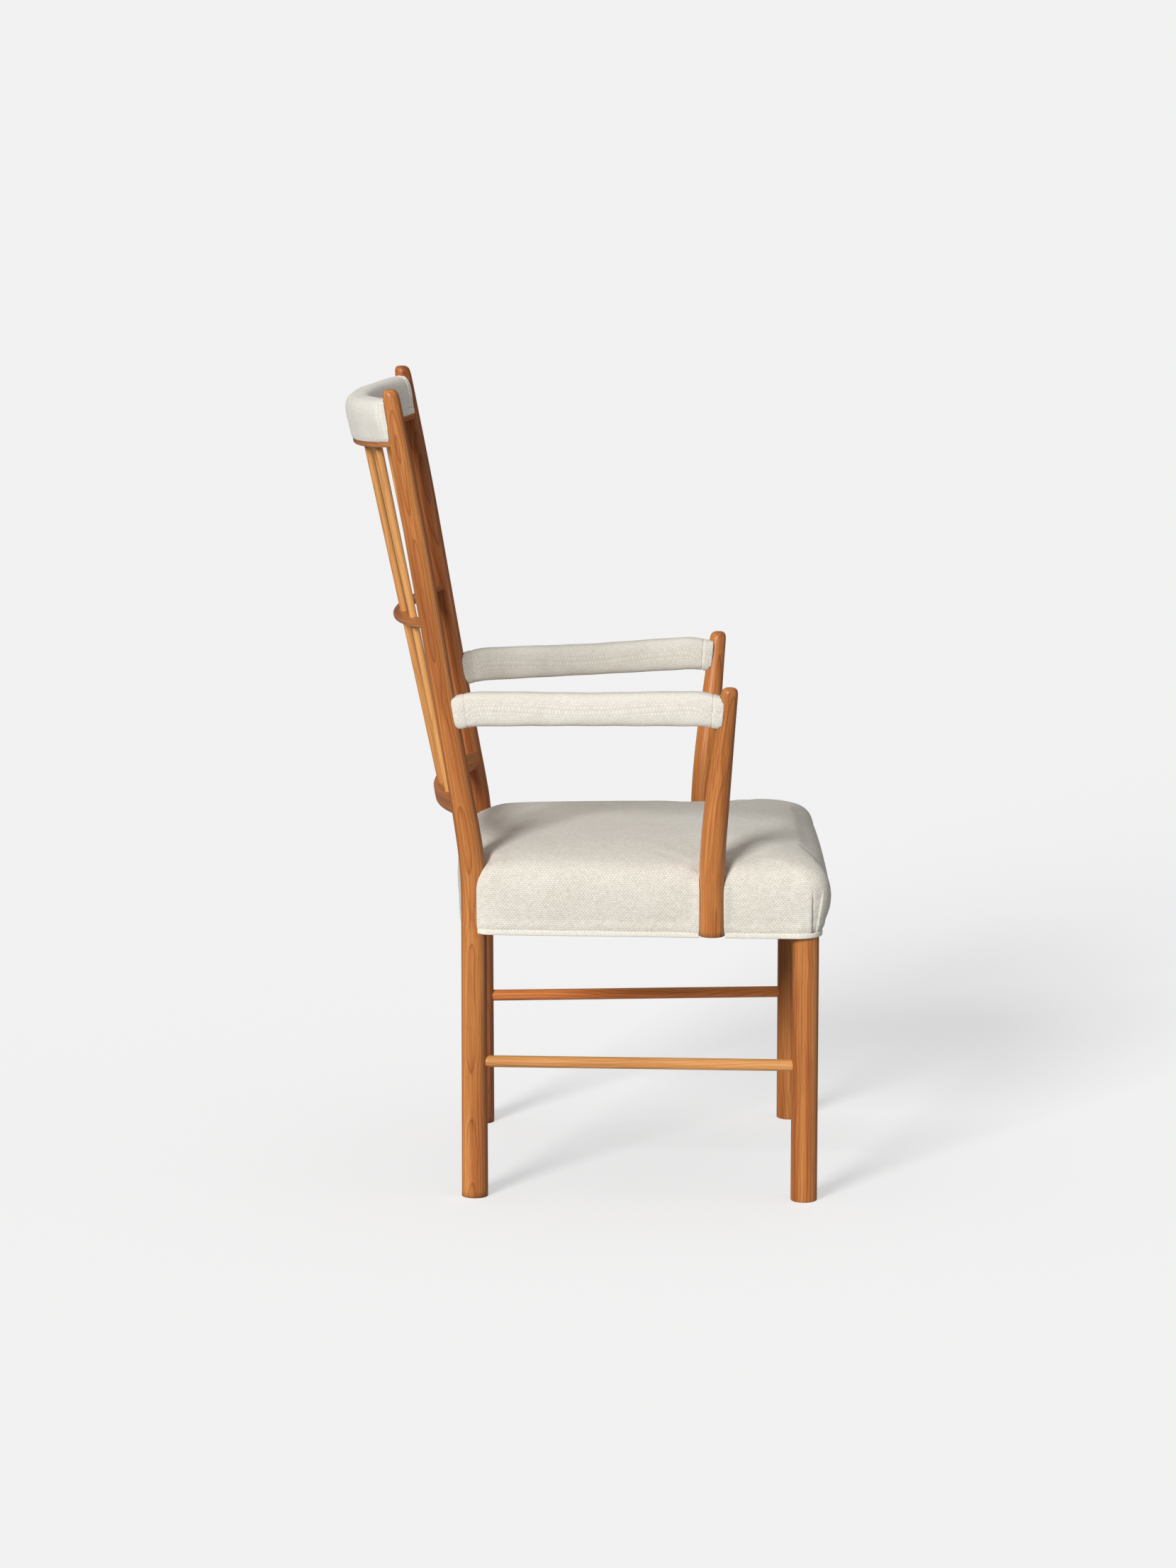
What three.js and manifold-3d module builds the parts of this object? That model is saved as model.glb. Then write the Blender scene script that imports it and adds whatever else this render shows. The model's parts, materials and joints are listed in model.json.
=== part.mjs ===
// A tall-backed wooden armchair with a sleeve-upholstered headrest, padded arms and a covered seat.
// Millimetres, +Z up. The sitter faces -Y, the mirror plane is X = 0, and the floor is Z = 0.
import * as THREE from 'three';
import { mergeVertices } from 'three/addons/utils/BufferGeometryUtils.js';
import Module from 'manifold-3d';

const wasm = await Module();
wasm.setup();

// ---------------------------------------------------------------- driving dimensions

const GAP = 0.3;                    // clearance wherever two pieces meet

const CHAIR_HEIGHT = 1130;
const BACK_LEAN = 0.17;             // how far the back goes rearwards for each unit of height
const KNEE_Z = 470;                 // where the rear posts turn from upright to leaning
const KNEE_BLEND = 50;              // half the height over which they turn

const LEG = { x: 241.7, y: -299.1, radius: 18.5, top: 445 };
const REAR_POST = { footX: 216.5, topX: 204.9, footY: 160.9 };
const ARM_POST = { footX: 258, footY: -168.5, footZ: 380, kneeZ: 500, outSlope: 0.105, foreSlope: 0.099,
  top: 730 };

const FRAME_BOTTOM = 386;           // the hidden seat frame
const FRAME_TOP = 445;
const RAIL_THICK = 22;
const STRETCHER = { z: 192.5, radius: 8.2 };

// The arms run between the posts' axes. Their centre line dips a little at each end and bows
// inwards at the middle. Each sleeve stops a wrap's distance from the post's axis.
const ARM = { rearX: 210, frontX: 279, rearZ: 688.5, frontZ: 700, endDip: 4.5, dipReach: 34, inwardBow: 3,
  coreW: 18, coreH: 30, padW: 32, padH: 46.5, endWidth: 27, endHeight: 43.5,
  rearWrap: 9, frontWrap: 6 };

// Each bowed back member: centre height at the posts, sagitta, depth front to back at the middle
// and at the ends, height, edge rounding, and how far its centre line passes in front of the
// posts' axes.
const HEADREST_RAIL = { z: 1079.8, sagitta: 62.7, depth: 24, endDepth: 24, height: 56, soften: 2, fore: 1.5 };
const MID_RAIL = { z: 806.6, sagitta: 49.6, depth: 21.7, endDepth: 21.7, height: 8.8, soften: 2, fore: 0 };
const LOWER_RAIL = { z: 550.3, sagitta: 40.7, depth: 25, endDepth: 19.5, height: 26, soften: 3, fore: 6.2 };
const BOW_STEPS = 12;

// Four spindles part the back into five equal bays. Their holes sit a little in front of each
// rail's centre line.
const SPINDLE = { radius: 5.35, count: 4, foreLower: 4.4, foreUpper: 2 };

const SEAT = { hem: 377, hemHeight: 7.5, edge: 488, frontBulge: 13, rearHalf: 240, frontHalf: 272,
  rearY: 138.4, frontY: -325, backY: 186 };

// The headrest sleeve over its rail: edges up the back and front to back from the rail's centre,
// and how far each moves by the ends.
const HEADREST_PAD = { bottom: 7, top: 40, topDrop: 2, front: -27, frontEase: 13.2, rear: 15.5, rearEase: 9 };

const TENON = 14;                   // length of every round tenon inside its mortise

// ---------------------------------------------------------------- finishes

const wood = new THREE.MeshStandardMaterial({ color: 0xb9703a, roughness: 0.45, metalness: 0 });
const innerWood = new THREE.MeshStandardMaterial({ color: 0xc9a77c, roughness: 0.7, metalness: 0 });
const linen = new THREE.MeshStandardMaterial({ color: 0xdcd8cc, roughness: 0.95, metalness: 0 });
const jute = new THREE.MeshStandardMaterial({ color: 0xa08a63, roughness: 0.95, metalness: 0 });
const dustCloth = new THREE.MeshStandardMaterial({ color: 0x2b2b2b, roughness: 0.95, metalness: 0 });
const steel = new THREE.MeshStandardMaterial({ color: 0x9a9a98, roughness: 0.35, metalness: 1 });

const SIDES = [['left', 1], ['right', -1]];   // the sitter's left is +X
const chair = new THREE.Group();

// ---------------------------------------------------------------- solids and booleans

// A closed geometry as a manifold-3d solid.
function solid(geometry) {
  const bare = new THREE.BufferGeometry();
  const source = geometry.index ? geometry.toNonIndexed() : geometry;
  bare.setAttribute('position', source.getAttribute('position'));
  const merged = mergeVertices(bare, 1e-4);
  return new wasm.Manifold(new wasm.Mesh({
    numProp: 3,
    vertProperties: new Float32Array(merged.attributes.position.array),
    triVerts: new Uint32Array(merged.index.array),
  }));
}

function geometryOf(body) {
  const mesh = body.getMesh();
  const geometry = new THREE.BufferGeometry();
  geometry.setAttribute('position', new THREE.BufferAttribute(mesh.vertProperties, 3));
  geometry.setIndex(new THREE.BufferAttribute(mesh.triVerts, 1));
  geometry.computeVertexNormals();
  return geometry;
}

function cut(body, ...tools) {
  return tools.reduce((left, tool) => left.subtract(tool), body);
}

function join(...bodies) {
  return bodies.reduce((all, body) => all.add(body));
}

// Adds a finished solid as a named mesh that stands at its own origin.
function place(name, body, origin, material) {
  const geometry = geometryOf(body).translate(-origin.x, -origin.y, -origin.z);
  const mesh = new THREE.Mesh(geometry, material);
  mesh.name = name;
  mesh.position.copy(origin);
  chair.add(mesh);
}

// ---------------------------------------------------------------- shape builders

// A closed skin over rings of equal length, with a fan at each end. Rings run counter-clockwise
// seen from the last ring's side.
function loft(rings) {
  const count = rings[0].length;
  const points = rings.flat();
  const faces = [];
  for (let r = 0; r < rings.length - 1; r++) {
    for (let i = 0; i < count; i++) {
      const a = r * count + i;
      const b = r * count + (i + 1) % count;
      faces.push(a, b, b + count, a, b + count, a + count);
    }
  }
  const middle = (ring) => ring.reduce((sum, p) => sum.add(p), new THREE.Vector3()).divideScalar(count);
  const first = points.push(middle(rings[0])) - 1;
  const last = points.push(middle(rings.at(-1))) - 1;
  const lastStart = (rings.length - 1) * count;
  for (let i = 0; i < count; i++) {
    const next = (i + 1) % count;
    faces.push(first, next, i);
    faces.push(last, lastStart + i, lastStart + next);
  }
  const geometry = new THREE.BufferGeometry().setFromPoints(points);
  geometry.setIndex(faces);
  return geometry;
}

// A horizontal circle.
function ring(x, y, z, radius, sides = 18) {
  return Array.from({ length: sides }, (_, i) => {
    const angle = i / sides * 2 * Math.PI;
    return new THREE.Vector3(x + radius * Math.cos(angle), y + radius * Math.sin(angle), z);
  });
}

// A straight round bar from one point to another.
function rod(from, to, radius, sides = 16) {
  const along = to.clone().sub(from);
  const geometry = new THREE.CylinderGeometry(radius, radius, along.length(), sides, 1);
  const turn = new THREE.Quaternion().setFromUnitVectors(new THREE.Vector3(0, 1, 0), along.clone().normalize());
  geometry.applyQuaternion(turn);
  geometry.translate(...from.clone().add(to).multiplyScalar(0.5).toArray());
  return solid(geometry);
}

// The same bar made bigger all round, to cut the hole it sits in.
function rodHole(from, to, radius, sides = 16) {
  const stretch = to.clone().sub(from).normalize().multiplyScalar(GAP);
  const outside = (radius + GAP) / Math.cos(Math.PI / sides);
  return rod(from.clone().sub(stretch), to.clone().add(stretch), outside, sides);
}

function box(lowX, lowY, lowZ, highX, highY, highZ) {
  const geometry = new THREE.BoxGeometry(highX - lowX, highY - lowY, highZ - lowZ);
  geometry.translate((lowX + highX) / 2, (lowY + highY) / 2, (lowZ + highZ) / 2);
  return solid(geometry);
}

// A plan outline, given as a THREE.Shape, raised between two heights.
function slab(shape, low, high, curveSegments = 8) {
  const geometry = new THREE.ExtrudeGeometry(shape, { depth: high - low, bevelEnabled: false, curveSegments });
  geometry.translate(0, 0, low);
  return solid(geometry);
}

function vec(x, y, z) {
  return new THREE.Vector3(x, y, z);
}

// Linear interpolation in a list of [position, value] stations.
function along(stations, at) {
  const above = stations.findIndex(([position]) => position >= at);
  if (above <= 0) return stations.at(above === 0 ? 0 : -1)[1];
  const [p0, v0] = stations[above - 1];
  const [p1, v1] = stations[above];
  return v0 + (v1 - v0) * (at - p0) / (p1 - p0);
}

// Zero below a knee, a straight slope above it, and a smooth turn over the blend.
function bend(z, knee, blend, slope) {
  const past = z - (knee - blend);
  if (past <= 0) return 0;
  return past < 2 * blend ? slope * past * past / (4 * blend) : slope * (z - knee);
}

// ---------------------------------------------------------------- posts and legs

// The domed tip of a post: radius as a share of the shoulder's, by height below the apex.
const DOME = [[0, 0], [0.4, 0.45], [1.6, 0.7], [4, 0.87], [8, 0.965], [14, 1]];

const REAR_RADIUS = [[0, 18.4], [350, 17.8], [500, 17.8], [580, 16.7], [773, 15.8], [910, 15.7],
  [1085, 12.6], [1116, 11.6], [1130, 11.2]];
const ARM_POST_RADIUS = [[380, 17], [445, 17.1], [482, 17.9], [540, 17.5], [709, 12.3], [730, 11.8]];

function rearPostX(z) {
  return REAR_POST.footX + (REAR_POST.topX - REAR_POST.footX) * z / CHAIR_HEIGHT;
}

function rearPostY(z) {
  return REAR_POST.footY + bend(z, KNEE_Z, KNEE_BLEND, BACK_LEAN);
}

function armPostX(z) {
  return ARM_POST.footX + bend(z, ARM_POST.kneeZ, KNEE_BLEND, ARM_POST.outSlope);
}

function armPostY(z) {
  return ARM_POST.footY - bend(z, ARM_POST.kneeZ, KNEE_BLEND, ARM_POST.foreSlope);
}

// A round post that follows a centre line, with a domed tip, made bigger all round by grow.
function post(side, heights, centreX, centreY, radii, grow) {
  const apex = heights.at(-1);
  const bottom = heights[0];
  const tip = DOME.map(([below]) => apex - below).reverse();
  const levels = [...heights.slice(0, -1), ...tip.slice(0, -1)];
  const rings = levels.map((z) => {
    const share = along(DOME, Math.min(apex - z, DOME.at(-1)[0]));
    const level = z === bottom ? z - grow : z;
    return ring(side * centreX(z), centreY(z), level, along(radii, z) * share + grow);
  });
  return solid(loft(rings));
}

const REAR_HEIGHTS = [0, 350, 420, 445, 470, 495, 520, 580, 773, 910, 1085, CHAIR_HEIGHT];
const ARM_POST_HEIGHTS = [ARM_POST.footZ, 445, 465, 482, 510, 540, 709, ARM_POST.top];

function rearPost(side, grow = 0) {
  return post(side, REAR_HEIGHTS, rearPostX, rearPostY, REAR_RADIUS, grow);
}

function armPost(side, grow = 0, below = 0) {
  const heights = [ARM_POST.footZ - below, ...ARM_POST_HEIGHTS.slice(1)];
  return post(side, heights, armPostX, armPostY, ARM_POST_RADIUS, grow);
}

// A front leg with a small rounding at the floor.
function frontLeg(side, grow = 0) {
  const stations = [[0, -1.2], [0.4, -0.5], [1.5, 0], [LEG.top, 0]];
  const rings = stations.map(([z, step]) => ring(side * LEG.x, LEG.y, z, LEG.radius + step + grow));
  return solid(loft(rings));
}

// ---------------------------------------------------------------- bowed back members

// A bow lies in a plane square to the leaning back. In that plane u runs along X, v runs
// rearwards and w runs up the back. Its centre line is an arc through both posts' axes.
const LEAN_ANGLE = Math.atan(BACK_LEAN);

function bowArc(member) {
  const half = rearPostX(member.z);
  const rise = member.sagitta / Math.cos(LEAN_ANGLE);
  const radius = (half * half + rise * rise) / (2 * rise);
  return { half, rise, radius };
}

// From the bow's own u, v, w to the chair's frame.
function fromBow(member, u, v, w) {
  const s = Math.sin(LEAN_ANGLE);
  const c = Math.cos(LEAN_ANGLE);
  return vec(u, rearPostY(member.z) + v * c + w * s, member.z - v * s + w * c);
}

// Distance rearwards of the bow's centre line at a given u.
function bowV(member, u) {
  const { rise, radius } = bowArc(member);
  return rise - radius + Math.sqrt(radius * radius - u * u) - member.fore;
}

// A bowed board with softened edges, that ends at both posts' axes.
function bowedBoard(member) {
  const { half, radius } = bowArc(member);
  const { soften, depth, endDepth } = member;
  const reach = Math.asin(half / radius);
  const outline = [];
  for (const face of [1, -1]) {
    for (let i = 0; i <= BOW_STEPS; i++) {
      const angle = face * reach * (1 - 2 * i / BOW_STEPS);
      const ease = (angle / reach) ** 2;
      const across = face * ((depth + (endDepth - depth) * ease) / 2 - soften);
      const u = (radius + across) * Math.sin(angle);
      const v = bowV(member, radius * Math.sin(angle)) + across * Math.cos(angle);
      outline.push(new THREE.Vector2(u, v));
    }
  }
  const geometry = new THREE.ExtrudeGeometry(new THREE.Shape(outline), {
    depth: member.height - 2 * soften, bevelEnabled: true, bevelThickness: soften, bevelSize: soften,
    bevelSegments: 1, steps: 1,
  });
  geometry.translate(0, 0, soften - member.height / 2);
  geometry.rotateX(-LEAN_ANGLE);
  geometry.translate(0, rearPostY(member.z), member.z);
  return solid(geometry);
}

// The round tenon at one end of a bow, from inside the board to past the post's axis.
function bowTenon(member, side, radius, w, hole) {
  const inner = rearPostX(member.z) - along(REAR_RADIUS, member.z) - 8;
  const outer = rearPostX(member.z) - 1;
  const from = fromBow(member, side * inner, bowV(member, inner), w);
  const to = fromBow(member, side * outer, bowV(member, outer), w);
  return hole ? rodHole(from, to, radius, 10) : rod(from, to, radius, 10);
}

const BOW_TENONS = [
  [HEADREST_RAIL, 5, [-16, 16]],
  [MID_RAIL, 3.2, [0]],
  [LOWER_RAIL, 5, [0]],
];

function bowedRail(member) {
  const [, radius, heights] = BOW_TENONS.find(([owner]) => owner === member);
  let body = bowedBoard(member);
  for (const [, side] of SIDES) {
    body = cut(body, rearPost(side, GAP));
    for (const w of heights) body = join(body, bowTenon(member, side, radius, w, false));
  }
  return body;
}

// ---------------------------------------------------------------- spindles

// Each spindle runs from a blind hole in the lower rail, through the mid rail, into the
// headrest rail.
const SPINDLES = Array.from({ length: SPINDLE.count }, (_, index) => {
  const bay = 2 * rearPostX(MID_RAIL.z) / (SPINDLE.count + 1);
  const x = bay * (index - (SPINDLE.count - 1) / 2);
  const footV = bowV(LOWER_RAIL, x) - SPINDLE.foreLower;
  const headV = bowV(HEADREST_RAIL, x) - SPINDLE.foreUpper;
  const foot = fromBow(LOWER_RAIL, x, footV, LOWER_RAIL.height / 2 - TENON);
  const head = fromBow(HEADREST_RAIL, x, headV, TENON - HEADREST_RAIL.height / 2);
  return { foot, head };
});

function spindleHoles(body) {
  return cut(body, ...SPINDLES.map(({ foot, head }) => rodHole(foot, head, SPINDLE.radius, 12)));
}

// ---------------------------------------------------------------- arms

const ARM_REAR_Y = rearPostY(ARM.rearZ);
const ARM_LENGTH = ARM_REAR_Y - armPostY(ARM.frontZ);

// How close a point is to either sewn end of the sleeve: 1 at the post's face, 0 once clear.
function armEndness(share) {
  const clear = Math.min(share, 1 - share) * ARM_LENGTH - 14;
  return Math.min(1, Math.max(0, 1 - clear / ARM.dipReach)) ** 2;
}

// A point on an arm's centre line, from the rear post's axis (0) to the arm post's axis (1).
function armCentre(side, share) {
  const x = ARM.rearX + (ARM.frontX - ARM.rearX) * share - ARM.inwardBow * Math.sin(Math.PI * share);
  const z = ARM.rearZ + (ARM.frontZ - ARM.rearZ) * share - ARM.endDip * armEndness(share);
  return vec(side * x, ARM_REAR_Y - ARM_LENGTH * share, z);
}

// An oval bar along the arm's centre line, between two shares of its length.
function armBar(side, from, to, sizeAt, steps, sides) {
  const rings = [];
  for (let k = 0; k <= steps; k++) {
    const share = from + (to - from) * k / steps;
    const centre = armCentre(side, share);
    const { width, height, lift } = sizeAt(share);
    rings.push(Array.from({ length: sides }, (_, i) => {
      const angle = i / sides * 2 * Math.PI;
      return vec(centre.x + width / 2 * Math.cos(angle), centre.y, centre.z + lift + height / 2 * Math.sin(angle));
    }));
  }
  return solid(loft(rings));
}

function armCore(side, grow = 0) {
  const size = () => ({ width: ARM.coreW + 2 * grow, height: ARM.coreH + 2 * grow, lift: 0 });
  return armBar(side, 0, 1, size, 10, 12);
}

// The sleeve is a little slimmer at its sewn ends and gently waved along its top.
function armSleeve(side) {
  const size = (share) => {
    const end = armEndness(share);
    const wave = (1 - end) * Math.cos(2 * Math.PI * 1.45 * (share - 0.16));
    const width = ARM.padW + (ARM.endWidth - ARM.padW) * end;
    const height = ARM.padH + (ARM.endHeight - ARM.padH) * end + wave;
    return { width, height, lift: wave / 2 };
  };
  return armBar(side, ARM.rearWrap / ARM_LENGTH, 1 - ARM.frontWrap / ARM_LENGTH, size, 14, 14);
}

function armTenons(side, hole) {
  const make = hole ? rodHole : rod;
  const rear = armCentre(side, 0);
  const front = armCentre(side, 1);
  const inward = front.clone().sub(rear).normalize();
  const rearIn = rear.clone().addScaledVector(inward, 30);
  const frontIn = front.clone().addScaledVector(inward, -28);
  return [make(rear.clone().addScaledVector(inward, -4), rearIn, 6, 12),
    make(front.clone().addScaledVector(inward, 3), frontIn, 6, 12)];
}

// ---------------------------------------------------------------- the hidden seat frame

// Centre line of a side rail: from the rear post's axis to the front leg's axis.
function sideRailX(y) {
  const share = (y - REAR_POST.footY) / (LEG.y - REAR_POST.footY);
  const rear = rearPostX(415);
  return rear + (LEG.x - rear) * share;
}

function sideRail(side, grow = 0) {
  const half = RAIL_THICK / 2 + grow;
  const shape = new THREE.Shape();
  shape.moveTo(side * (sideRailX(LEG.y) - half), LEG.y);
  shape.lineTo(side * (sideRailX(LEG.y) + half), LEG.y);
  shape.lineTo(side * (sideRailX(REAR_POST.footY) + half), REAR_POST.footY);
  shape.lineTo(side * (sideRailX(REAR_POST.footY) - half), REAR_POST.footY);
  shape.closePath();
  return slab(shape, FRAME_BOTTOM - grow, FRAME_TOP + grow);
}

function crossRail(x, y, grow = 0) {
  const half = RAIL_THICK / 2 + grow;
  return box(-x, y - half, FRAME_BOTTOM - grow, x, y + half, FRAME_TOP + grow);
}

function frameTenons(hole) {
  const make = hole ? rodHole : rod;
  const tenons = { side: {}, front: [], back: [] };
  for (const [word, side] of SIDES) {
    const rail = (y, z) => vec(side * sideRailX(y), y, z);
    tenons.side[word] = [401, 428].flatMap((z) => [
      make(rail(LEG.y + 34, z), rail(LEG.y + 2, z), 5, 12),
      make(rail(REAR_POST.footY - 34, z), rail(REAR_POST.footY - 2, z), 5, 12),
    ]);
    // The cross rails' tenons sit between the heights of the side rails' own.
    const frontZ = 414.5;
    tenons.front.push(make(vec(side * (LEG.x - 34), LEG.y, frontZ), vec(side * (LEG.x + 6), LEG.y, frontZ), 5, 12));
    const rearX = rearPostX(frontZ);
    tenons.back.push(make(vec(side * (rearX - 34), REAR_POST.footY, frontZ),
      vec(side * (rearX + 6), REAR_POST.footY, frontZ), 5, 12));
  }
  return tenons;
}

const frameTenon = frameTenons(false);
const frameMortise = frameTenons(true);

// A triangular block in each inner corner of the seat frame.
const BLOCK = { leg: 62, low: 408, high: 436 };
const CORNERS = [['front', LEG.y, 1], ['rear', REAR_POST.footY, -1]];

function cornerBlock(side, y, inward) {
  const edgeY = y + inward * (RAIL_THICK / 2 + GAP);
  const railX = (at) => side * (sideRailX(at) - RAIL_THICK / 2 - 1);
  const shape = new THREE.Shape();
  shape.moveTo(railX(edgeY), edgeY);
  shape.lineTo(railX(edgeY) - side * BLOCK.leg, edgeY);
  shape.lineTo(railX(edgeY + inward * BLOCK.leg), edgeY + inward * BLOCK.leg);
  shape.closePath();
  return slab(shape, BLOCK.low, BLOCK.high);
}

// A countersunk wood screw from its head's face to its tip, made bigger all round by grow.
function screw(from, to, grow = 0) {
  const direction = to.clone().sub(from).normalize();
  const length = from.distanceTo(to);
  const profile = [[0, -grow], [3.8 + grow, -grow], [3.8 + grow, 0.6], [2 + grow, 3], [2 + grow, length - 5],
    [0.6 + grow, length + grow], [0, length + grow]];
  const points = profile.map(([r, h]) => new THREE.Vector2(r, h));
  const geometry = new THREE.LatheGeometry(points, 8);
  geometry.applyQuaternion(new THREE.Quaternion().setFromUnitVectors(vec(0, 1, 0), direction));
  geometry.translate(...from.toArray());
  return solid(geometry);
}

// Two screws through each corner block, one into the side rail and one into the cross rail.
function blockScrewLines() {
  const lines = [];
  for (const [, side] of SIDES) {
    for (const [, y, inward] of CORNERS) {
      const edgeY = y + inward * RAIL_THICK / 2;
      const cornerX = side * (sideRailX(edgeY) - RAIL_THICK / 2 - 1);
      const faceAt = (share) => vec(cornerX - side * BLOCK.leg * share, edgeY + inward * BLOCK.leg * (1 - share), 422);
      const toSide = faceAt(0.32).addScaledVector(vec(-side, inward, 0), -0.8);
      const toCross = faceAt(0.68).addScaledVector(vec(-side, inward, 0), -0.8);
      lines.push([toSide, toSide.clone().add(vec(side * 32, 0, 0))]);
      lines.push([toCross, toCross.clone().add(vec(0, -inward * 32, 0))]);
    }
  }
  return lines;
}

// Two screws from inside each side rail into the foot of the arm post.
function armScrewLines() {
  return SIDES.flatMap(([, side]) => [398, 430].map((z) => {
    const inside = side * (sideRailX(ARM_POST.footY) - RAIL_THICK / 2 + 0.5);
    return [vec(inside, ARM_POST.footY, z), vec(inside + side * 38, ARM_POST.footY, z)];
  }));
}

const blockScrews = blockScrewLines();
const armScrews = armScrewLines();
const screwHoles = [...blockScrews, ...armScrews].map(([from, to]) => screw(from, to, GAP));

// ---------------------------------------------------------------- seat upholstery

// Half-width of the seat cover at a depth Y, before its bulge.
function seatHalf(y) {
  const share = (y - SEAT.rearY) / (SEAT.frontY - SEAT.rearY);
  return SEAT.rearHalf + (SEAT.frontHalf - SEAT.rearHalf) * share;
}

// The cover's plan outline as a ring at one height: bulge pushes the front out, and inset
// draws everything in.
function seatRing(z, bulge, inset, shrink = 1) {
  const front = SEAT.frontY - SEAT.frontBulge * bulge + inset;
  const back = SEAT.backY + 3 * bulge - inset;
  const corner = 34;
  const sideOut = 2 * bulge - inset;
  const rightHalf = [];
  const push = (x, y) => rightHalf.push([x, y]);
  const frontX = seatHalf(front + corner) + sideOut;
  for (let i = 0; i < 4; i++) push(frontX * 0.86 * i / 4, front + 3 * (i / 4) ** 2);
  for (let i = 0; i <= 5; i++) {
    const angle = -Math.PI / 2 + i / 5 * Math.PI / 2;
    push(frontX - corner + corner * Math.cos(angle), front + 3 + corner + corner * Math.sin(angle));
  }
  for (let i = 1; i <= 6; i++) {
    const y = front + 3 + corner + (SEAT.rearY + 8 - front - corner - 3) * i / 6;
    push(seatHalf(y) + sideOut, y);
  }
  push(seatHalf(SEAT.rearY) - 20 + sideOut, SEAT.rearY + 24);
  for (let i = 3; i >= 1; i--) push(198 * i / 3.2, back - 9 * (i / 3) ** 2);
  const leftHalf = rightHalf.slice(1).reverse().map(([x, y]) => [-x, y]);
  const middleY = (SEAT.frontY + SEAT.backY) / 2;
  const outline = [...rightHalf, [0, back], ...leftHalf];
  return outline.map(([x, y]) => vec(x * shrink, middleY + (y - middleY) * shrink, z));
}

// The cover's height, bulge and inset up its sides, then its height and shrink over the crown.
const SEAT_LEVELS = [
  [SEAT.hem + SEAT.hemHeight + GAP, 0.05, 0],
  [410, 0.7, 0],
  [440, 1, 0],
  [460, 0.9, 4],
  [473, 0.6, 12],
  [481.5, 0.1, 23],
];
const SEAT_CROWN = [[487.5, 0.93], [492, 0.78], [495, 0.55], [496.5, 0.28]];

function seatPad() {
  const rings = SEAT_LEVELS.map(([z, bulge, inset]) => seatRing(z, bulge, inset));
  for (const [z, shrink] of SEAT_CROWN) {
    rings.push(seatRing(z, -0.4, 24, shrink));
  }
  return cut(solid(loft(rings)), ...seatHollow(1), ...SIDES.flatMap(([, side]) => [
    rearPost(side, 0.6), armPost(side, 0.6)]));
}

// The room that the frame, legs and webbing take up inside the cover.
function seatHollow(room) {
  const inner = new THREE.Shape();
  const frontY = LEG.y - RAIL_THICK / 2 - room;
  const backY = REAR_POST.footY + RAIL_THICK / 2 + room;
  const half = (y) => sideRailX(y) + RAIL_THICK / 2 + room;
  inner.moveTo(-half(frontY), frontY);
  inner.lineTo(half(frontY), frontY);
  inner.lineTo(half(backY), backY);
  inner.lineTo(-half(backY), backY);
  inner.closePath();
  const top = FRAME_TOP + WEB.thick * 2 + 3 * room;
  const body = slab(inner, 360, top);
  const legs = SIDES.map(([, side]) => solid(loft([
    ring(side * LEG.x, LEG.y, 360, LEG.radius + room), ring(side * LEG.x, LEG.y, top, LEG.radius + room)])));
  return [body, ...legs];
}

// The folded, stitched hem band round the bottom of the cover. The posts part it into four
// lengths, named by where their middles lie.
function seatHems() {
  const low = seatRing(SEAT.hem, 0, 0);
  const high = seatRing(SEAT.hem + SEAT.hemHeight, 0, 0);
  const band = cut(solid(loft([low, high])), ...seatHollow(1), ...SIDES.flatMap(([, side]) => [
    rearPost(side, 0.6), armPost(side, 0.6, 10)]));
  return band.decompose().map((body) => {
    const { min, max } = body.boundingBox();
    const middle = vec((min[0] + max[0]) / 2, (min[1] + max[1]) / 2, SEAT.hem);
    if (Math.abs(middle.x) > 100) return [middle.x > 0 ? 'left' : 'right', body, middle];
    return [middle.y < 0 ? 'front' : 'rear', body, middle];
  });
}

// ---------------------------------------------------------------- webbing and dust cover

const WEB = { width: 50, thick: 1.6, lengthwise: [-150, -50, 50, 150], crosswise: [-240, -95, 50] };

function lengthwiseStrap(x) {
  const low = FRAME_TOP + GAP;
  return box(x - WEB.width / 2, LEG.y - 8, low, x + WEB.width / 2, REAR_POST.footY + 8, low + WEB.thick);
}

function crosswiseStrap(y) {
  const low = FRAME_TOP + WEB.thick + 2 * GAP;
  const half = sideRailX(y) + 8;
  return box(-half, y - WEB.width / 2, low, half, y + WEB.width / 2, low + WEB.thick);
}

function dustCover() {
  const shape = new THREE.Shape();
  const front = LEG.y - 8;
  const back = REAR_POST.footY + 8;
  shape.moveTo(-sideRailX(front) - 8, front);
  shape.lineTo(sideRailX(front) + 8, front);
  shape.lineTo(sideRailX(back) + 8, back);
  shape.lineTo(-sideRailX(back) - 8, back);
  shape.closePath();
  const top = FRAME_BOTTOM - GAP;
  return cut(slab(shape, top - 1.5, top), ...SIDES.flatMap(([, side]) => [
    rearPost(side, 0.6), frontLeg(side, 0.6), armPost(side, 0.6)]));
}

// ---------------------------------------------------------------- headrest sleeve

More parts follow.
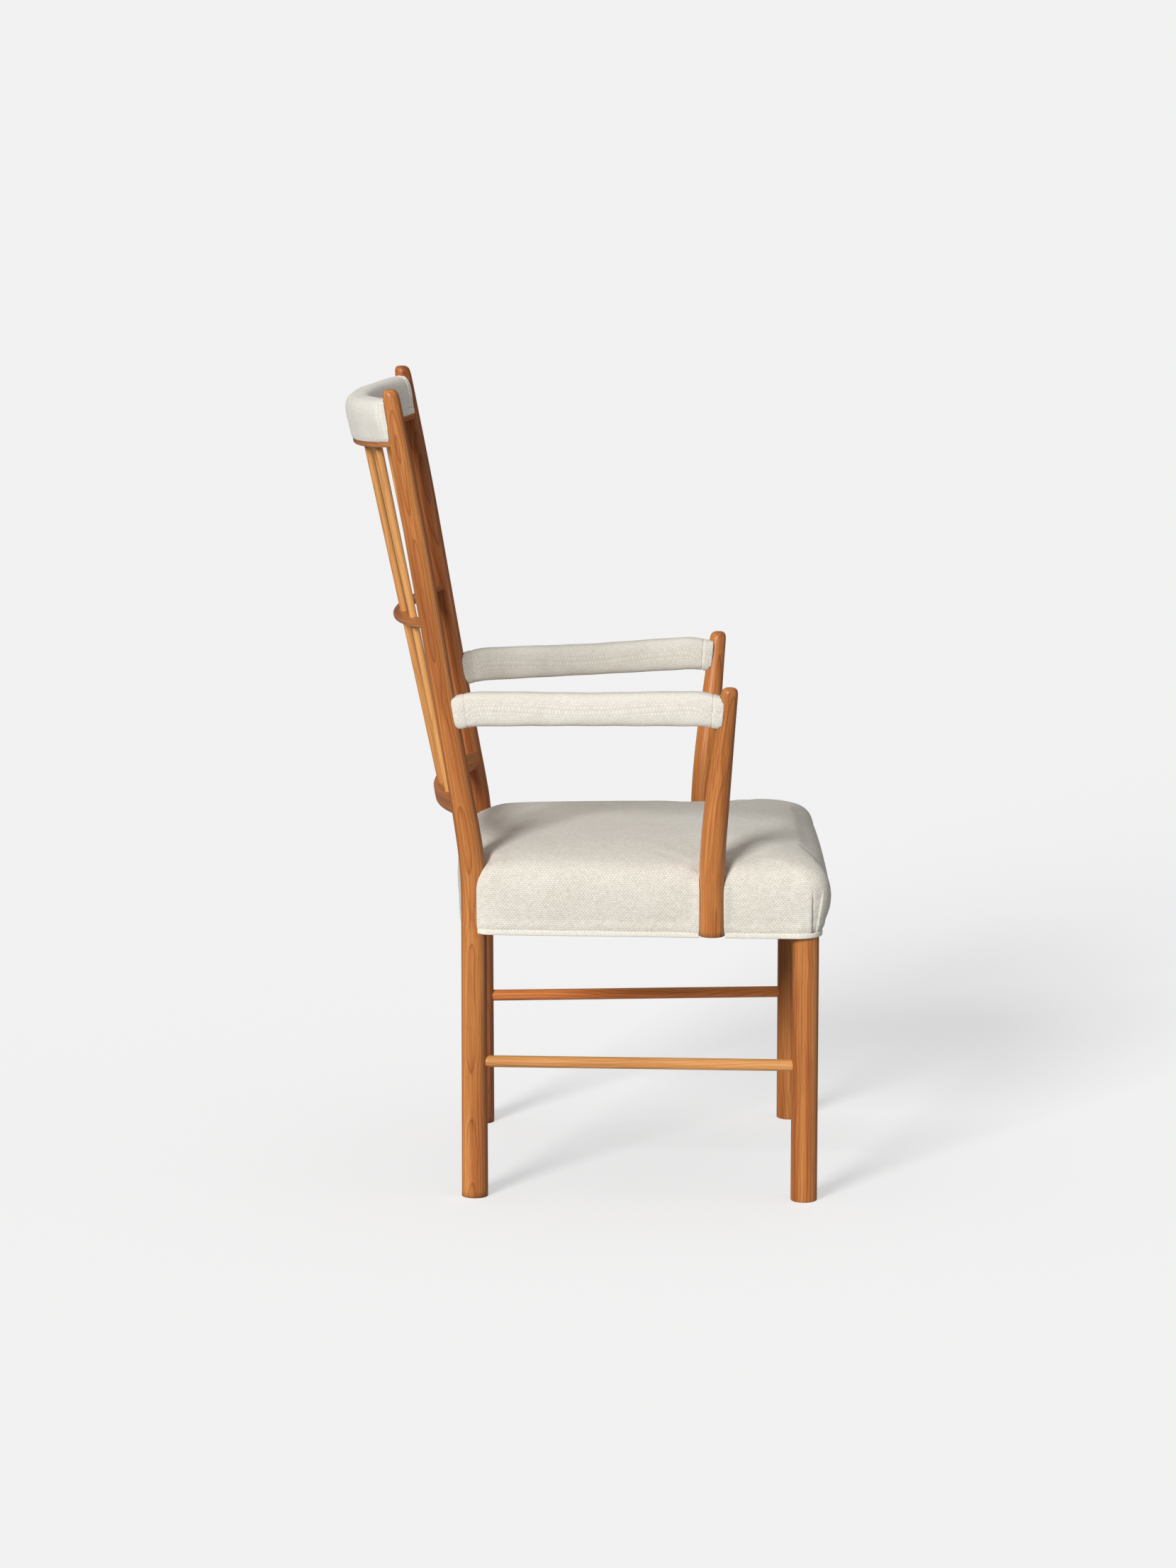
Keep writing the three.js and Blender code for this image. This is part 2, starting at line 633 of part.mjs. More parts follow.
// The sleeve's section at a share of the half-span: n points rearwards of the rail's centre
// line and w up the back from the rail's centre.
function headrestSection(share, sides = 18) {
  const skin = HEADREST_RAIL.depth / 2 + 1.5;
  const bottom = HEADREST_PAD.bottom - HEADREST_RAIL.height / 2;
  const top = HEADREST_PAD.top - HEADREST_PAD.topDrop * share ** 2;
  const front = HEADREST_PAD.front + HEADREST_PAD.frontEase * share ** 2;
  const rear = HEADREST_PAD.rear + HEADREST_PAD.rearEase * share ** 2;
  const middle = (bottom + top) / 2 + 4;
  return Array.from({ length: sides }, (_, i) => {
    const angle = (i + 0.5) / sides * 2 * Math.PI;
    const c = Math.cos(angle);
    const s = Math.sin(angle);
    const low = s < 0;
    const across = Math.sign(c) * Math.abs(c) ** (low ? 0.25 : 0.75);
    const up = Math.sign(s) * Math.abs(s) ** (low ? 0.9 : 0.75);
    const swell = low ? 1 - up * up : 1;
    const rearN = skin + (rear - skin) * swell;
    const frontN = -skin + (front + skin) * swell;
    const w = middle + (low ? middle - bottom : top - middle) * up;
    return [(rearN + frontN) / 2 + (rearN - frontN) / 2 * across, w];
  });
}

function headrestPad() {
  const { radius, rise, half } = bowArc(HEADREST_RAIL);
  const reach = Math.asin((half - 4) / radius);
  const steps = 14;
  const rings = [];
  for (let k = 0; k <= steps; k++) {
    const angle = reach * (2 * k / steps - 1);
    const section = headrestSection(Math.abs(angle) / reach);
    rings.push(section.map(([n, w]) => fromBow(HEADREST_RAIL, (radius + n) * Math.sin(angle),
      rise - radius + (radius + n) * Math.cos(angle) - HEADREST_RAIL.fore, w)));
  }
  const railRoom = bowedBoard({ ...HEADREST_RAIL, depth: HEADREST_RAIL.depth + 2 * GAP + 0.4,
    height: HEADREST_RAIL.height + 2 * GAP });
  const cutters = SIDES.flatMap(([, side]) => [rearPost(side, 0.6),
    ...[-16, 16].map((w) => bowTenon(HEADREST_RAIL, side, 5, w, true))]);
  return cut(solid(loft(rings)), railRoom, ...cutters);
}

// ---------------------------------------------------------------- assembly

function addLegsAndPosts() {
  for (const [word, side] of SIDES) {
    const legOrigin = vec(side * LEG.x, LEG.y, 0);
    const stretcherHole = stretcher(side, true);
    place(`front_leg_${word}`, cut(frontLeg(side), stretcherHole, ...frameMortise.side[word],
      ...frameMortise.front), legOrigin, wood);

    const bowHoles = BOW_TENONS.flatMap(([member, radius, heights]) => heights.map((w) => (
      bowTenon(member, side, radius, w, true))));
    place(`rear_post_${word}`, cut(rearPost(side), stretcherHole, armTenons(side, true)[0], ...bowHoles,
      ...frameMortise.side[word], ...frameMortise.back), vec(side * REAR_POST.footX, REAR_POST.footY, 0), wood);

    place(`side_stretcher_${word}`, stretcher(side, false), vec(side * 229, -70, STRETCHER.z), wood);

    const seated = cut(armPost(side), sideRail(side, GAP), armTenons(side, true)[1], ...screwHoles);
    place(`arm_post_${word}`, seated, vec(side * ARM_POST.footX, ARM_POST.footY, ARM_POST.footZ), wood);
  }
}

// A stretcher runs from inside the rear post to inside the front leg, with a slimmer tenon at
// each end.
function stretcher(side, hole) {
  const rear = vec(side * rearPostX(STRETCHER.z), REAR_POST.footY, STRETCHER.z);
  const front = vec(side * LEG.x, LEG.y, STRETCHER.z);
  const direction = front.clone().sub(rear).normalize();
  const tenonRear = rear.clone().addScaledVector(direction, 4);
  const tenonFront = front.clone().addScaledVector(direction, -4);
  if (hole) return rodHole(tenonRear, tenonFront, STRETCHER.radius - 1.6, 12);
  const shoulder = cut(rod(rear, front, STRETCHER.radius), rearPost(side, GAP), frontLeg(side, GAP));
  return join(shoulder, rod(tenonRear, tenonFront, STRETCHER.radius - 1.6, 12));
}

function addArms() {
  for (const [word, side] of SIDES) {
    const posts = [rearPost(side, GAP), armPost(side, GAP)];
    const origin = armCentre(side, 0.5);
    const core = cut(armCore(side), ...posts);
    place(`arm_rail_${word}`, join(core, ...armTenons(side, false)), origin, wood);
    const sleeve = cut(armSleeve(side), armCore(side, GAP + 0.2), rearPost(side, 0.5), armPost(side, 0.5));
    place(`arm_pad_${word}`, sleeve, origin, linen);
  }
}

function addBack() {
  for (const [name, member] of [['headrest_rail', HEADREST_RAIL], ['mid_back_rail', MID_RAIL],
    ['lower_back_rail', LOWER_RAIL]]) {
    place(name, spindleHoles(bowedRail(member)), fromBow(member, 0, bowV(member, 0), 0), wood);
  }
  SPINDLES.forEach(({ foot, head }, index) => {
    place(`spindle_${index + 1}`, rod(foot, head, SPINDLE.radius, 12), foot, wood);
  });
  place('headrest_pad', headrestPad(), fromBow(HEADREST_RAIL, 0, bowV(HEADREST_RAIL, 0), 0), linen);
}

function addSeatFrame() {
  for (const [word, side] of SIDES) {
    const rail = cut(sideRail(side), rearPost(side, GAP), frontLeg(side, GAP), ...screwHoles);
    const origin = vec(side * sideRailX(-70), -70, FRAME_BOTTOM);
    place(`seat_rail_${word}`, join(rail, ...frameTenon.side[word]), origin, innerWood);
    for (const [end, y, inward] of CORNERS) {
      const block = cut(cornerBlock(side, y, inward), rearPost(side, GAP), frontLeg(side, GAP), ...screwHoles);
      place(`corner_block_${end}_${word}`, block, vec(side * LEG.x, y, BLOCK.low), innerWood);
    }
  }
  const ends = SIDES.flatMap(([, side]) => [rearPost(side, GAP), frontLeg(side, GAP), sideRail(side, GAP)]);
  const front = cut(crossRail(LEG.x, LEG.y), ...ends, ...screwHoles);
  place('seat_rail_front', join(front, ...frameTenon.front), vec(0, LEG.y, FRAME_BOTTOM), innerWood);
  const back = cut(crossRail(rearPostX(415), REAR_POST.footY), ...ends, ...screwHoles);
  place('seat_rail_back', join(back, ...frameTenon.back), vec(0, REAR_POST.footY, FRAME_BOTTOM), innerWood);
  blockScrews.forEach(([from, to], index) => {
    place(`block_screw_${index + 1}`, screw(from, to), from, steel);
  });
  armScrews.forEach(([from, to], index) => {
    place(`arm_post_screw_${index + 1}`, screw(from, to), from, steel);
  });
}

function addUpholstery() {
  WEB.lengthwise.forEach((x, index) => {
    place(`webbing_long_${index + 1}`, lengthwiseStrap(x), vec(x, -70, FRAME_TOP), jute);
  });
  WEB.crosswise.forEach((y, index) => {
    place(`webbing_cross_${index + 1}`, crosswiseStrap(y), vec(0, y, FRAME_TOP), jute);
  });
  place('dust_cover', dustCover(), vec(0, -70, FRAME_BOTTOM), dustCloth);
  for (const [where, body, middle] of seatHems()) place(`seat_hem_${where}`, body, middle, linen);
  place('seat_pad', seatPad(), vec(0, -70, SEAT.edge), linen);
}

addLegsAndPosts();
addArms();
addBack();
addSeatFrame();
addUpholstery();

export default chair;
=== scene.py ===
import json
import math

import bmesh
import bpy
import numpy as np
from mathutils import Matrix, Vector


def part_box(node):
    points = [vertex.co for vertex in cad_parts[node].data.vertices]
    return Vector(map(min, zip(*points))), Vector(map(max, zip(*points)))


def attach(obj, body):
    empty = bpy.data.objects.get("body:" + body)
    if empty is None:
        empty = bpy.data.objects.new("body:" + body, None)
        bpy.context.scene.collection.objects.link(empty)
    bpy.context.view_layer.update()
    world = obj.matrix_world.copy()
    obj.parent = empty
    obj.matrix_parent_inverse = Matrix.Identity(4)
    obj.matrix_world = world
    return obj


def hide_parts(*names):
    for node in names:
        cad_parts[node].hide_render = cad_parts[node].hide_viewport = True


# A tall-backed wooden armchair. Metres, +Z up, the sitter faces -Y and X = 0 is the mirror plane.

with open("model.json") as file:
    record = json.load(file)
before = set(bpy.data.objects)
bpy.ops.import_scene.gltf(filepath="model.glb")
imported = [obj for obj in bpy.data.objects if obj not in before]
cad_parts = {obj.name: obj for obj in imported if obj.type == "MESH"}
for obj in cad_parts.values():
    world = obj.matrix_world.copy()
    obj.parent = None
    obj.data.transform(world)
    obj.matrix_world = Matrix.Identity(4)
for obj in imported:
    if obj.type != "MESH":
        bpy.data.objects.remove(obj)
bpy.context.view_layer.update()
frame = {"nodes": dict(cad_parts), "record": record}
nodes = frame["nodes"]

MM = 0.001
SIDES = (("left", 1), ("right", -1))

# ---- driving dimensions, in metres

# The bowed back members, as in the CAD model: height at the posts, sagitta, depth at the middle
# and at the ends, height, edge rounding, and how far in front of the posts' axes they pass.
HEADREST_RAIL = dict(z=1.0798, sagitta=0.0627, depth=0.024, end=0.024, height=0.056, soft=0.003,
                     fore=0.0015)
MID_RAIL = dict(z=0.8066, sagitta=0.0496, depth=0.0217, end=0.0217, height=0.0088, soft=0.0034, fore=0.0)
LOWER_RAIL = dict(z=0.5503, sagitta=0.0407, depth=0.025, end=0.0195, height=0.026, soft=0.0055, fore=0.0062)

# The headrest sleeve's section, from the rail's centre: edges up the back and front to back, and
# how far each moves by the ends.
SLEEVE = dict(bottom=0.007, top=0.0395, top_drop=0.0015, front=-0.027, front_ease=0.0132,
              rear=0.0150, rear_ease=0.0040, skin=0.0016)

# The arms, from the rear post's axis to the arm post's axis.
ARM = dict(rear_x=0.210, front_x=0.279, rear_z=0.6885, front_z=0.700, dip=0.0045, dip_reach=0.034,
           bow=0.003, core_w=0.018, core_h=0.030, width=0.032, height=0.0465, end_width=0.0285,
           end_height=0.0445, rear_wrap=0.009, front_wrap=0.006)

# The seat cover.
HEM_LOW = 0.377
HEM_HIGH = 0.3845
SEAT = dict(bulge=0.0145, rear_half=0.240, front_half=0.272, rear_y=0.1384, front_y=-0.325, back_y=0.186,
            corner=0.034, back_flat=0.186)

COVER_GAP = 0.6 * MM

# ---- small numeric helpers


def pchip(at, value, query):
    """Monotone cubic interpolation through stations."""
    at, value, query = (np.asarray(v, float) for v in (at, value, query))
    step = np.diff(at)
    slope = np.diff(value) / step
    tangent = np.zeros(len(at))
    for i in range(1, len(at) - 1):
        if slope[i - 1] * slope[i] > 0:
            w1, w2 = 2 * step[i] + step[i - 1], step[i] + 2 * step[i - 1]
            tangent[i] = (w1 + w2) / (w1 / slope[i - 1] + w2 / slope[i])
    tangent[0], tangent[-1] = slope[0], slope[-1]
    k = np.clip(np.searchsorted(at, query) - 1, 0, len(step) - 1)
    t = (query - at[k]) / step[k]
    from_value, from_tangent = (1 + 2 * t) * (1 - t) ** 2, t * (1 - t) ** 2
    to_value, to_tangent = t * t * (3 - 2 * t), t * t * (t - 1)
    ends = from_value * value[k] + to_value * value[k + 1]
    return ends + step[k] * (from_tangent * tangent[k] + to_tangent * tangent[k + 1])


def smoothstep(low, high, value):
    """0 at low, 1 at high, with a smooth way between. High may be the lower number."""
    t = np.clip((np.asarray(value, float) - low) / (high - low), 0, 1)
    return t * t * (3 - 2 * t)


def bell(distance, width):
    """1 at no distance, and nearly 0 at twice the width."""
    return np.exp(-(np.asarray(distance, float) / width) ** 2)


# ---- mesh helpers


def new_object(name, points, faces):
    """A bare mesh object. Cutters stay bare, and are deleted after use."""
    mesh = bpy.data.meshes.new(name)
    mesh.from_pydata([tuple(p) for p in points], [], [tuple(int(i) for i in f) for f in faces])
    obj = bpy.data.objects.new(name, mesh)
    bpy.context.scene.collection.objects.link(obj)
    return obj


def make_mesh(name, points, faces, material, slot, **attributes):
    """A mesh object that rides on the chair's one body."""
    obj = new_object(name, points, faces)
    mesh = obj.data
    for key, values in attributes.items():
        layer = mesh.attributes.new(key, "FLOAT_VECTOR", "POINT")
        layer.data.foreach_set("vector", np.asarray(values, np.float32).ravel())
    mesh.polygons.foreach_set("use_smooth", [True] * len(mesh.polygons))
    mesh.validate()
    mesh.materials.append(material)
    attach(obj, "root")
    return obj


def grid_faces(rows, columns, close_rows=False):
    """Quads over rows of points. Each row is a closed ring."""
    faces = []
    for r in range(rows if close_rows else rows - 1):
        a, b = r * columns, (r + 1) % rows * columns
        for i in range(columns):
            j = (i + 1) % columns
            faces.append((a + i, a + j, b + j, b + i))
    return faces


def loft(rings):
    """Points and faces of a closed skin over rings, with a fan at each end."""
    rings = np.asarray(rings)
    rows, columns, _ = rings.shape
    points = np.vstack([rings.reshape(-1, 3), rings[0].mean(0), rings[-1].mean(0)])
    faces = grid_faces(rows, columns)
    first, last = rows * columns, rows * columns + 1
    start = (rows - 1) * columns
    for i in range(columns):
        j = (i + 1) % columns
        faces.append((first, j, i))
        faces.append((last, start + i, start + j))
    return points, faces


def node_points(name):
    """A CAD node's corners, each once."""
    mesh = nodes[name].data
    points = np.empty(len(mesh.vertices) * 3)
    mesh.vertices.foreach_get("co", points)
    return np.unique(np.round(points.reshape(-1, 3), 6), axis=0)


def object_points(obj):
    points = np.empty(len(obj.data.vertices) * 3)
    obj.data.vertices.foreach_get("co", points)
    return points.reshape(-1, 3)


def set_points(obj, points):
    obj.data.vertices.foreach_set("co", np.asarray(points, np.float32).ravel())
    obj.data.update()


def apply_modifiers(obj):
    graph = bpy.context.evaluated_depsgraph_get()
    mesh = bpy.data.meshes.new_from_object(obj.evaluated_get(graph))
    obj.modifiers.clear()
    old = obj.data
    obj.data = mesh
    bpy.data.meshes.remove(old)


def cut_away(obj, *cutters):
    """Takes the cutters' solids out of obj, and deletes them."""
    for cutter in cutters:
        modifier = obj.modifiers.new("cut", "BOOLEAN")
        modifier.operation = "DIFFERENCE"
        modifier.solver = "MANIFOLD"
        modifier.object = cutter
    apply_modifiers(obj)
    for cutter in cutters:
        bpy.data.objects.remove(cutter)
    obj.data.polygons.foreach_set("use_smooth", [True] * len(obj.data.polygons))


# ---- shader helpers


class Nodes:
    """Builds a node tree in few words."""

    MIX_COLOUR_INPUTS = (0, 6, 7)      # factor, A and B of a mix of colours
    MIX_COLOUR_OUTPUT = 2

    def __init__(self, tree):
        self.tree = tree

    def add(self, kind, inputs=None, **settings):
        node = self.tree.nodes.new("ShaderNode" + kind)
        for key, value in settings.items():
            setattr(node, key, value)
        for key, value in (inputs or {}).items():
            self.put(node.inputs[key], value)
        return node

    def put(self, socket, value):
        if isinstance(value, bpy.types.NodeSocket):
            self.tree.links.new(value, socket)
        else:
            socket.default_value = value

    def math(self, operation, *values, clamp=False):
        node = self.add("Math", operation=operation, use_clamp=clamp)
        for socket, value in zip(node.inputs, values):
            self.put(socket, value)
        return node.outputs[0]

    def plus(self, a, b, **settings):
        return self.math("ADD", a, b, **settings)

    def minus(self, a, b):
        return self.math("SUBTRACT", a, b)

    def times(self, a, b, **settings):
        return self.math("MULTIPLY", a, b, **settings)

    def mix(self, factor, a, b, blend="MIX"):
        node = self.add("Mix", data_type="RGBA", blend_type=blend)
        for index, value in zip(self.MIX_COLOUR_INPUTS, (factor, a, b)):
            self.put(node.inputs[index], value)
        return node.outputs[self.MIX_COLOUR_OUTPUT]

    def noise(self, vector, scale, detail=2.0, rough=0.5):
        inputs = {"Vector": vector, "Scale": scale, "Detail": detail, "Roughness": rough}
        return self.add("TexNoise", inputs).outputs["Fac"]

    def bump(self, height, strength, distance):
        inputs = {"Height": height, "Strength": strength, "Distance": distance}
        return self.add("Bump", inputs).outputs[0]

    def dress(self, shader, inputs):
        for key, value in inputs.items():
            self.put(shader.inputs[key], value)

    def ramp(self, factor, *stops):
        node = self.add("ValToRGB", {"Fac": factor})
        elements = node.color_ramp.elements
        while len(elements) < len(stops):
            elements.new(0.5)
        for element, (position, value) in zip(elements, stops):
            element.position = position
            element.color = (value, value, value, 1) if isinstance(value, float) else (*value, 1)
        return node.outputs["Color"]


def new_material(name):
    """A material with its node kit and its shader, which has nothing put in yet."""
    material = bpy.data.materials.new(name)
    material.use_nodes = True
    tree = material.node_tree
    tree.nodes.clear()
    kit = Nodes(tree)
    output = kit.add("OutputMaterial")
    shader = kit.add("BsdfPrincipled")
    tree.links.new(shader.outputs[0], output.inputs[0])
    return material, kit, shader


def srgb(r, g, b):
    """Linear colour of three display values from 0 to 255."""
    return tuple(((c / 255 + 0.055) / 1.055) ** 2.4 if c > 10 else c / 255 / 12.92 for c in (r, g, b))


# ---- wood


def wood_material(name, light, mid, dark, rough=0.36, ring=0.0042, attribute="grain"):
    """Growth rings round a pith that lies outside the piece, with fibres, pores and pin knots.

    The attribute holds a point's place in its piece: across, across and along the grain."""
    material, kit, shader = new_material(name)
    if attribute:
        place = kit.add("Attribute", attribute_name=attribute, attribute_type="GEOMETRY").outputs["Vector"]
    else:
        place = kit.add("TexCoord").outputs["Object"]

    def along(across, length, detail, rough=0.5):
        """Noise stretched along the grain: how fine it is across and along."""
        scale = (across, across, length)
        where = kit.add("Mapping", {"Vector": place, "Scale": scale}, vector_type="POINT").outputs[0]
        return kit.noise(where, 1.0, detail, rough)

    warp_a = kit.minus(along(7, 4.6, 2.0, 0.45), 0.5)
    warp_b = kit.minus(along(34, 7.0, 2.0, 0.5), 0.5)
    parts = kit.add("SeparateXYZ", {"Vector": place})
    a = kit.plus(parts.outputs[0], kit.times(warp_a, 0.042))
    b = kit.plus(parts.outputs[1], kit.times(warp_b, 0.012))
    radius = kit.math("SQRT", kit.plus(kit.times(a, a), kit.times(b, b)))
    uneven = kit.times(along(60, 3.0, 1.0), 0.9)
    phase = kit.math("FRACT", kit.plus(kit.math("DIVIDE", radius, ring), uneven))
    rings = kit.ramp(phase, (0.0, 0.55), (0.05, 0.06), (0.55, 0.12), (0.86, 0.42), (0.97, 1.0), (1.0, 0.55))
    fibres = along(900, 16, 3.0, 0.6)
    streaks = along(420, 5.0, 3.0, 0.65)
    bands = along(75, 2.2, 2.0, 0.5)
    patches = along(14, 4.0, 2.0, 0.5)
    amount = kit.plus(kit.times(rings, 0.32), kit.times(streaks, 0.40))
    amount = kit.plus(amount, kit.minus(bands, 0.38))
    amount = kit.plus(amount, kit.times(kit.minus(fibres, 0.5), 0.65), clamp=True)
    tone = kit.ramp(amount, (0.10, light), (0.45, mid), (0.95, dark))
    warm = kit.ramp(patches, (0.30, (1.08, 1.05, 1.02)), (0.70, (0.90, 0.86, 0.82)))
    colour = kit.mix(1.0, tone, warm, "MULTIPLY")
    pores = kit.ramp(along(1500, 60, 1.0, 0.5), (0.66, 0.0), (0.74, 1.0))
    colour = kit.mix(kit.times(pores, 0.35), colour, (*dark, 1))
    cells = kit.add("TexVoronoi", {"Vector": place, "Scale": 7.0}, feature="F1").outputs["Distance"]
    knot = kit.ramp(cells, (0.006, 1.0), (0.016, 0.0))
    colour = kit.mix(kit.times(knot, 0.75), colour, (*(0.45 * c for c in dark), 1))
    gloss = kit.plus(rough - 0.05, kit.times(fibres, 0.12))
    relief = kit.plus(kit.times(fibres, 0.6), kit.times(rings, 0.4))
    kit.dress(shader, {"Base Color": colour, "Roughness": gloss, "Specular IOR Level": 0.36,
                       "Normal": kit.bump(relief, 0.22, 0.0003)})
    return material


wood = wood_material("satin_hardwood", srgb(217, 148, 82), srgb(181, 109, 55), srgb(112, 57, 27))
pale_wood = wood_material("satin_hardwood_pale", srgb(232, 174, 108), srgb(212, 147, 84), srgb(160, 94, 48))
# A lighter, redder copy of the wood, for the far stretcher, which stands in shade: painted light.
painted_light_red_wood = wood_material("satin_hardwood_red_painted_light", srgb(236, 156, 90), srgb(208, 120, 60), srgb(138, 66, 31))
# A darker copy of the wood, for the far rear post: painted shade.
shaded_wood = wood_material("satin_hardwood_painted_shade", srgb(205, 133, 72), srgb(167, 96, 49), srgb(95, 46, 22))
inner_wood = wood_material("sawn_hardwood", srgb(214, 186, 143), srgb(190, 156, 110), srgb(150, 113, 72),
                           rough=0.7, ring=0.006, attribute=None)

# ---- cloth

# Length of a float of thread, and the rows' spacing. Then how far the weave wanders, on sleeves
# whose weave follows the cloth and on the cover.
THREAD_U, THREAD_V = 4.6 * MM, 2.8 * MM
SLEEVE_WANDER, COVER_WANDER = 0.4 * MM, 1.2 * MM


def weave_group():
    """Height of a half-lapped weave at (u, v): 0 in the gaps, 1 on the threads."""
    tree = bpy.data.node_groups.new("basket_weave", "ShaderNodeTree")
    for key in ("U", "V"):
        tree.interface.new_socket(key, in_out="INPUT", socket_type="NodeSocketFloat")
    tree.interface.new_socket("Height", in_out="OUTPUT", socket_type="NodeSocketFloat")
    kit = Nodes(tree)
    inside = tree.nodes.new("NodeGroupInput")
    outside = tree.nodes.new("NodeGroupOutput")
    v = kit.math("DIVIDE", inside.outputs[1], THREAD_V)
    shift = kit.math("FRACT", kit.times(kit.math("FLOOR", v), 0.5))
    u = kit.plus(kit.math("DIVIDE", inside.outputs[0], THREAD_U), shift)
    turn = kit.times(kit.minus(kit.math("FRACT", u), 0.5), 2 * math.pi)
    along = kit.plus(0.5, kit.times(kit.math("COSINE", turn), 0.5))
    aside = kit.minus(kit.math("FRACT", v), 0.5)
    across = kit.math("COSINE", kit.times(aside, math.pi))
    # Every float of thread stands a little higher or lower than its neighbours.
    cell = kit.add("CombineXYZ", {"X": kit.math("FLOOR", u), "Y": kit.math("FLOOR", v)}).outputs[0]
    uneven = kit.add("TexWhiteNoise", {"Vector": cell}, noise_dimensions="2D").outputs["Value"]
    across = kit.plus(0.40, kit.times(across, 0.60))
    across = kit.times(across, kit.plus(0.65, kit.times(uneven, 0.50)))
    picked = kit.times(kit.plus(0.42, kit.times(along, 0.58)), across)
    tree.links.new(picked, outside.inputs[0])
    return tree


WEAVE = weave_group()


def weave_at(kit, u, v):
    node = kit.add("Group", node_tree=WEAVE)
    kit.put(node.inputs[0], u)
    kit.put(node.inputs[1], v)
    return node.outputs[0]


def cloth_material(name, thread, gap_shade, attribute=None):
    """Basket-woven cloth. The weave follows an attribute of lengths over the cloth, or the three
    planes of the chair where there is none."""
    material, kit, shader = new_material(name)
    where = kit.add("TexCoord").outputs["Object"]
    wobble = kit.add("TexNoise", {"Vector": where, "Scale": 22.0, "Detail": 1.0}).outputs["Color"]
    drift = kit.add("VectorMath", {0: wobble, 1: (0.5, 0.5, 0.5)}, operation="SUBTRACT").outputs[0]
    wander = SLEEVE_WANDER if attribute else COVER_WANDER
    drift = kit.add("VectorMath", {0: drift, "Scale": wander}, operation="SCALE").outputs[0]
    base = where
    if attribute:
        base = kit.add("Attribute", attribute_name=attribute, attribute_type="GEOMETRY").outputs["Vector"]
    bent = kit.add("VectorMath", {0: base, 1: drift}, operation="ADD").outputs[0]
    x, y, z = kit.add("SeparateXYZ", {"Vector": bent}).outputs
    if attribute:
        height = weave_at(kit, x, y)
    else:
        facing = kit.add("SeparateXYZ", {"Vector": kit.add("NewGeometry").outputs["Normal"]}).outputs
        weights = [kit.math("POWER", kit.math("ABSOLUTE", n), 5.0) for n in facing]
        total = kit.plus(kit.plus(weights[0], weights[1]), weights[2])
        height = kit.times(weights[0], weave_at(kit, y, z))
        height = kit.plus(height, kit.times(weights[1], weave_at(kit, x, z)))
        height = kit.plus(height, kit.times(weights[2], weave_at(kit, y, x)))
        height = kit.math("DIVIDE", height, total)
    fuzz = kit.noise(where, 1600.0, 2.0, 0.6)
    slubs = kit.noise(where, 620.0, 3.0, 0.6)
    patches = kit.noise(where, 16.0, 2.0, 0.5)
    full = kit.plus(height, kit.times(kit.minus(slubs, 0.5), 2.0))
    # The colour follows the weave's height: the gaps between threads and the lower floats are painted
    # darker as painted shade, and the raised floats lighter.
    colour = kit.mix(kit.times(full, 1.25, clamp=True), (*gap_shade, 1), (*thread, 1))
    shade = kit.ramp(patches, (0.3, (1.02, 1.02, 1.02)), (0.7, (0.965, 0.96, 0.95)))
    relief = kit.plus(full, kit.times(fuzz, 0.25))
    kit.dress(shader, {"Base Color": kit.mix(1.0, colour, shade, "MULTIPLY"),
                       "Roughness": kit.plus(0.84, kit.times(fuzz, 0.12)), "Specular IOR Level": 0.2,
                       "Sheen Weight": 0.15, "Sheen Roughness": 0.5,
                       "Normal": kit.bump(relief, 0.45, 0.0006)})
    return material


# Thread colours, and the darker colours painted into the gaps between threads as painted shade.
THREAD, THREAD_GAP_SHADE = srgb(241, 236, 225), srgb(206, 199, 185)
SLEEVE_GAP_SHADE = srgb(216, 210, 197)
linen = cloth_material("basket_linen", THREAD, THREAD_GAP_SHADE)
linen_sleeve = cloth_material("basket_linen_sleeve", THREAD, SLEEVE_GAP_SHADE, "cloth")
# A lighter copy of the linen, for the headrest sleeve and the hems: painted light.
linen_painted_light = cloth_material("basket_linen_painted_light", srgb(249, 244, 234), srgb(227, 221, 209), "cloth")
dust_cloth = cloth_material("black_bottom_cloth", (0.030, 0.030, 0.032), (0.012, 0.012, 0.013))
jute = cloth_material("jute_webbing", srgb(186, 160, 116), srgb(120, 97, 62))


def steel_material():
    material, kit, shader = new_material("plain_steel")
    where = kit.add("TexCoord").outputs["Object"]
    scratch = kit.noise(where, 700.0, 3.0)
    colour = kit.mix(scratch, (0.42, 0.42, 0.41, 1), (0.60, 0.60, 0.58, 1))
    kit.dress(shader, {"Base Color": colour, "Roughness": kit.plus(0.28, kit.times(scratch, 0.2)),
                       "Metallic": 1.0, "Normal": kit.bump(scratch, 0.1, 0.0002)})
    return material


steel = steel_material()

# ---- turned posts and legs

TUBE_SIDES = 56
CUTTER_SIDES, CUTTER_LEVELS = 48, 60
RING_LEAST = 12            # a level ring of a CAD post has at least this many corners,
RING_ROUND = 0.3 * MM      # lies this close to a circle,
RING_APART = 0.02 * MM     # and is at least this far from the next
TIP_RISE, TIP_RADIUS = 0.35 * MM, 0.02 * MM


def turned_stations(node):
    """Height, centre and radius of each level ring of an upright turned CAD node."""
    points = node_points(node)
    points = points[np.argsort(points[:, 2])]
    stations = []
    for level in np.split(points, np.where(np.diff(points[:, 2]) > RING_APART)[0] + 1):
        spread = np.hypot(*(level[:, :2] - level[:, :2].mean(0)).T)
        rim = level[spread > 0.6 * spread.max()]
        if len(rim) < RING_LEAST:
            continue
        rows = np.column_stack([2 * rim[:, 0], 2 * rim[:, 1], np.ones(len(rim))])
        cx, cy, k = np.linalg.lstsq(rows, (rim[:, :2] ** 2).sum(1), rcond=None)[0]
        radius = math.sqrt(k + cx * cx + cy * cy)
        if np.abs(np.hypot(rim[:, 0] - cx, rim[:, 1] - cy) - radius).max() < RING_ROUND:
            stations.append((rim[0, 2], cx, cy, radius))
    return np.array(stations)


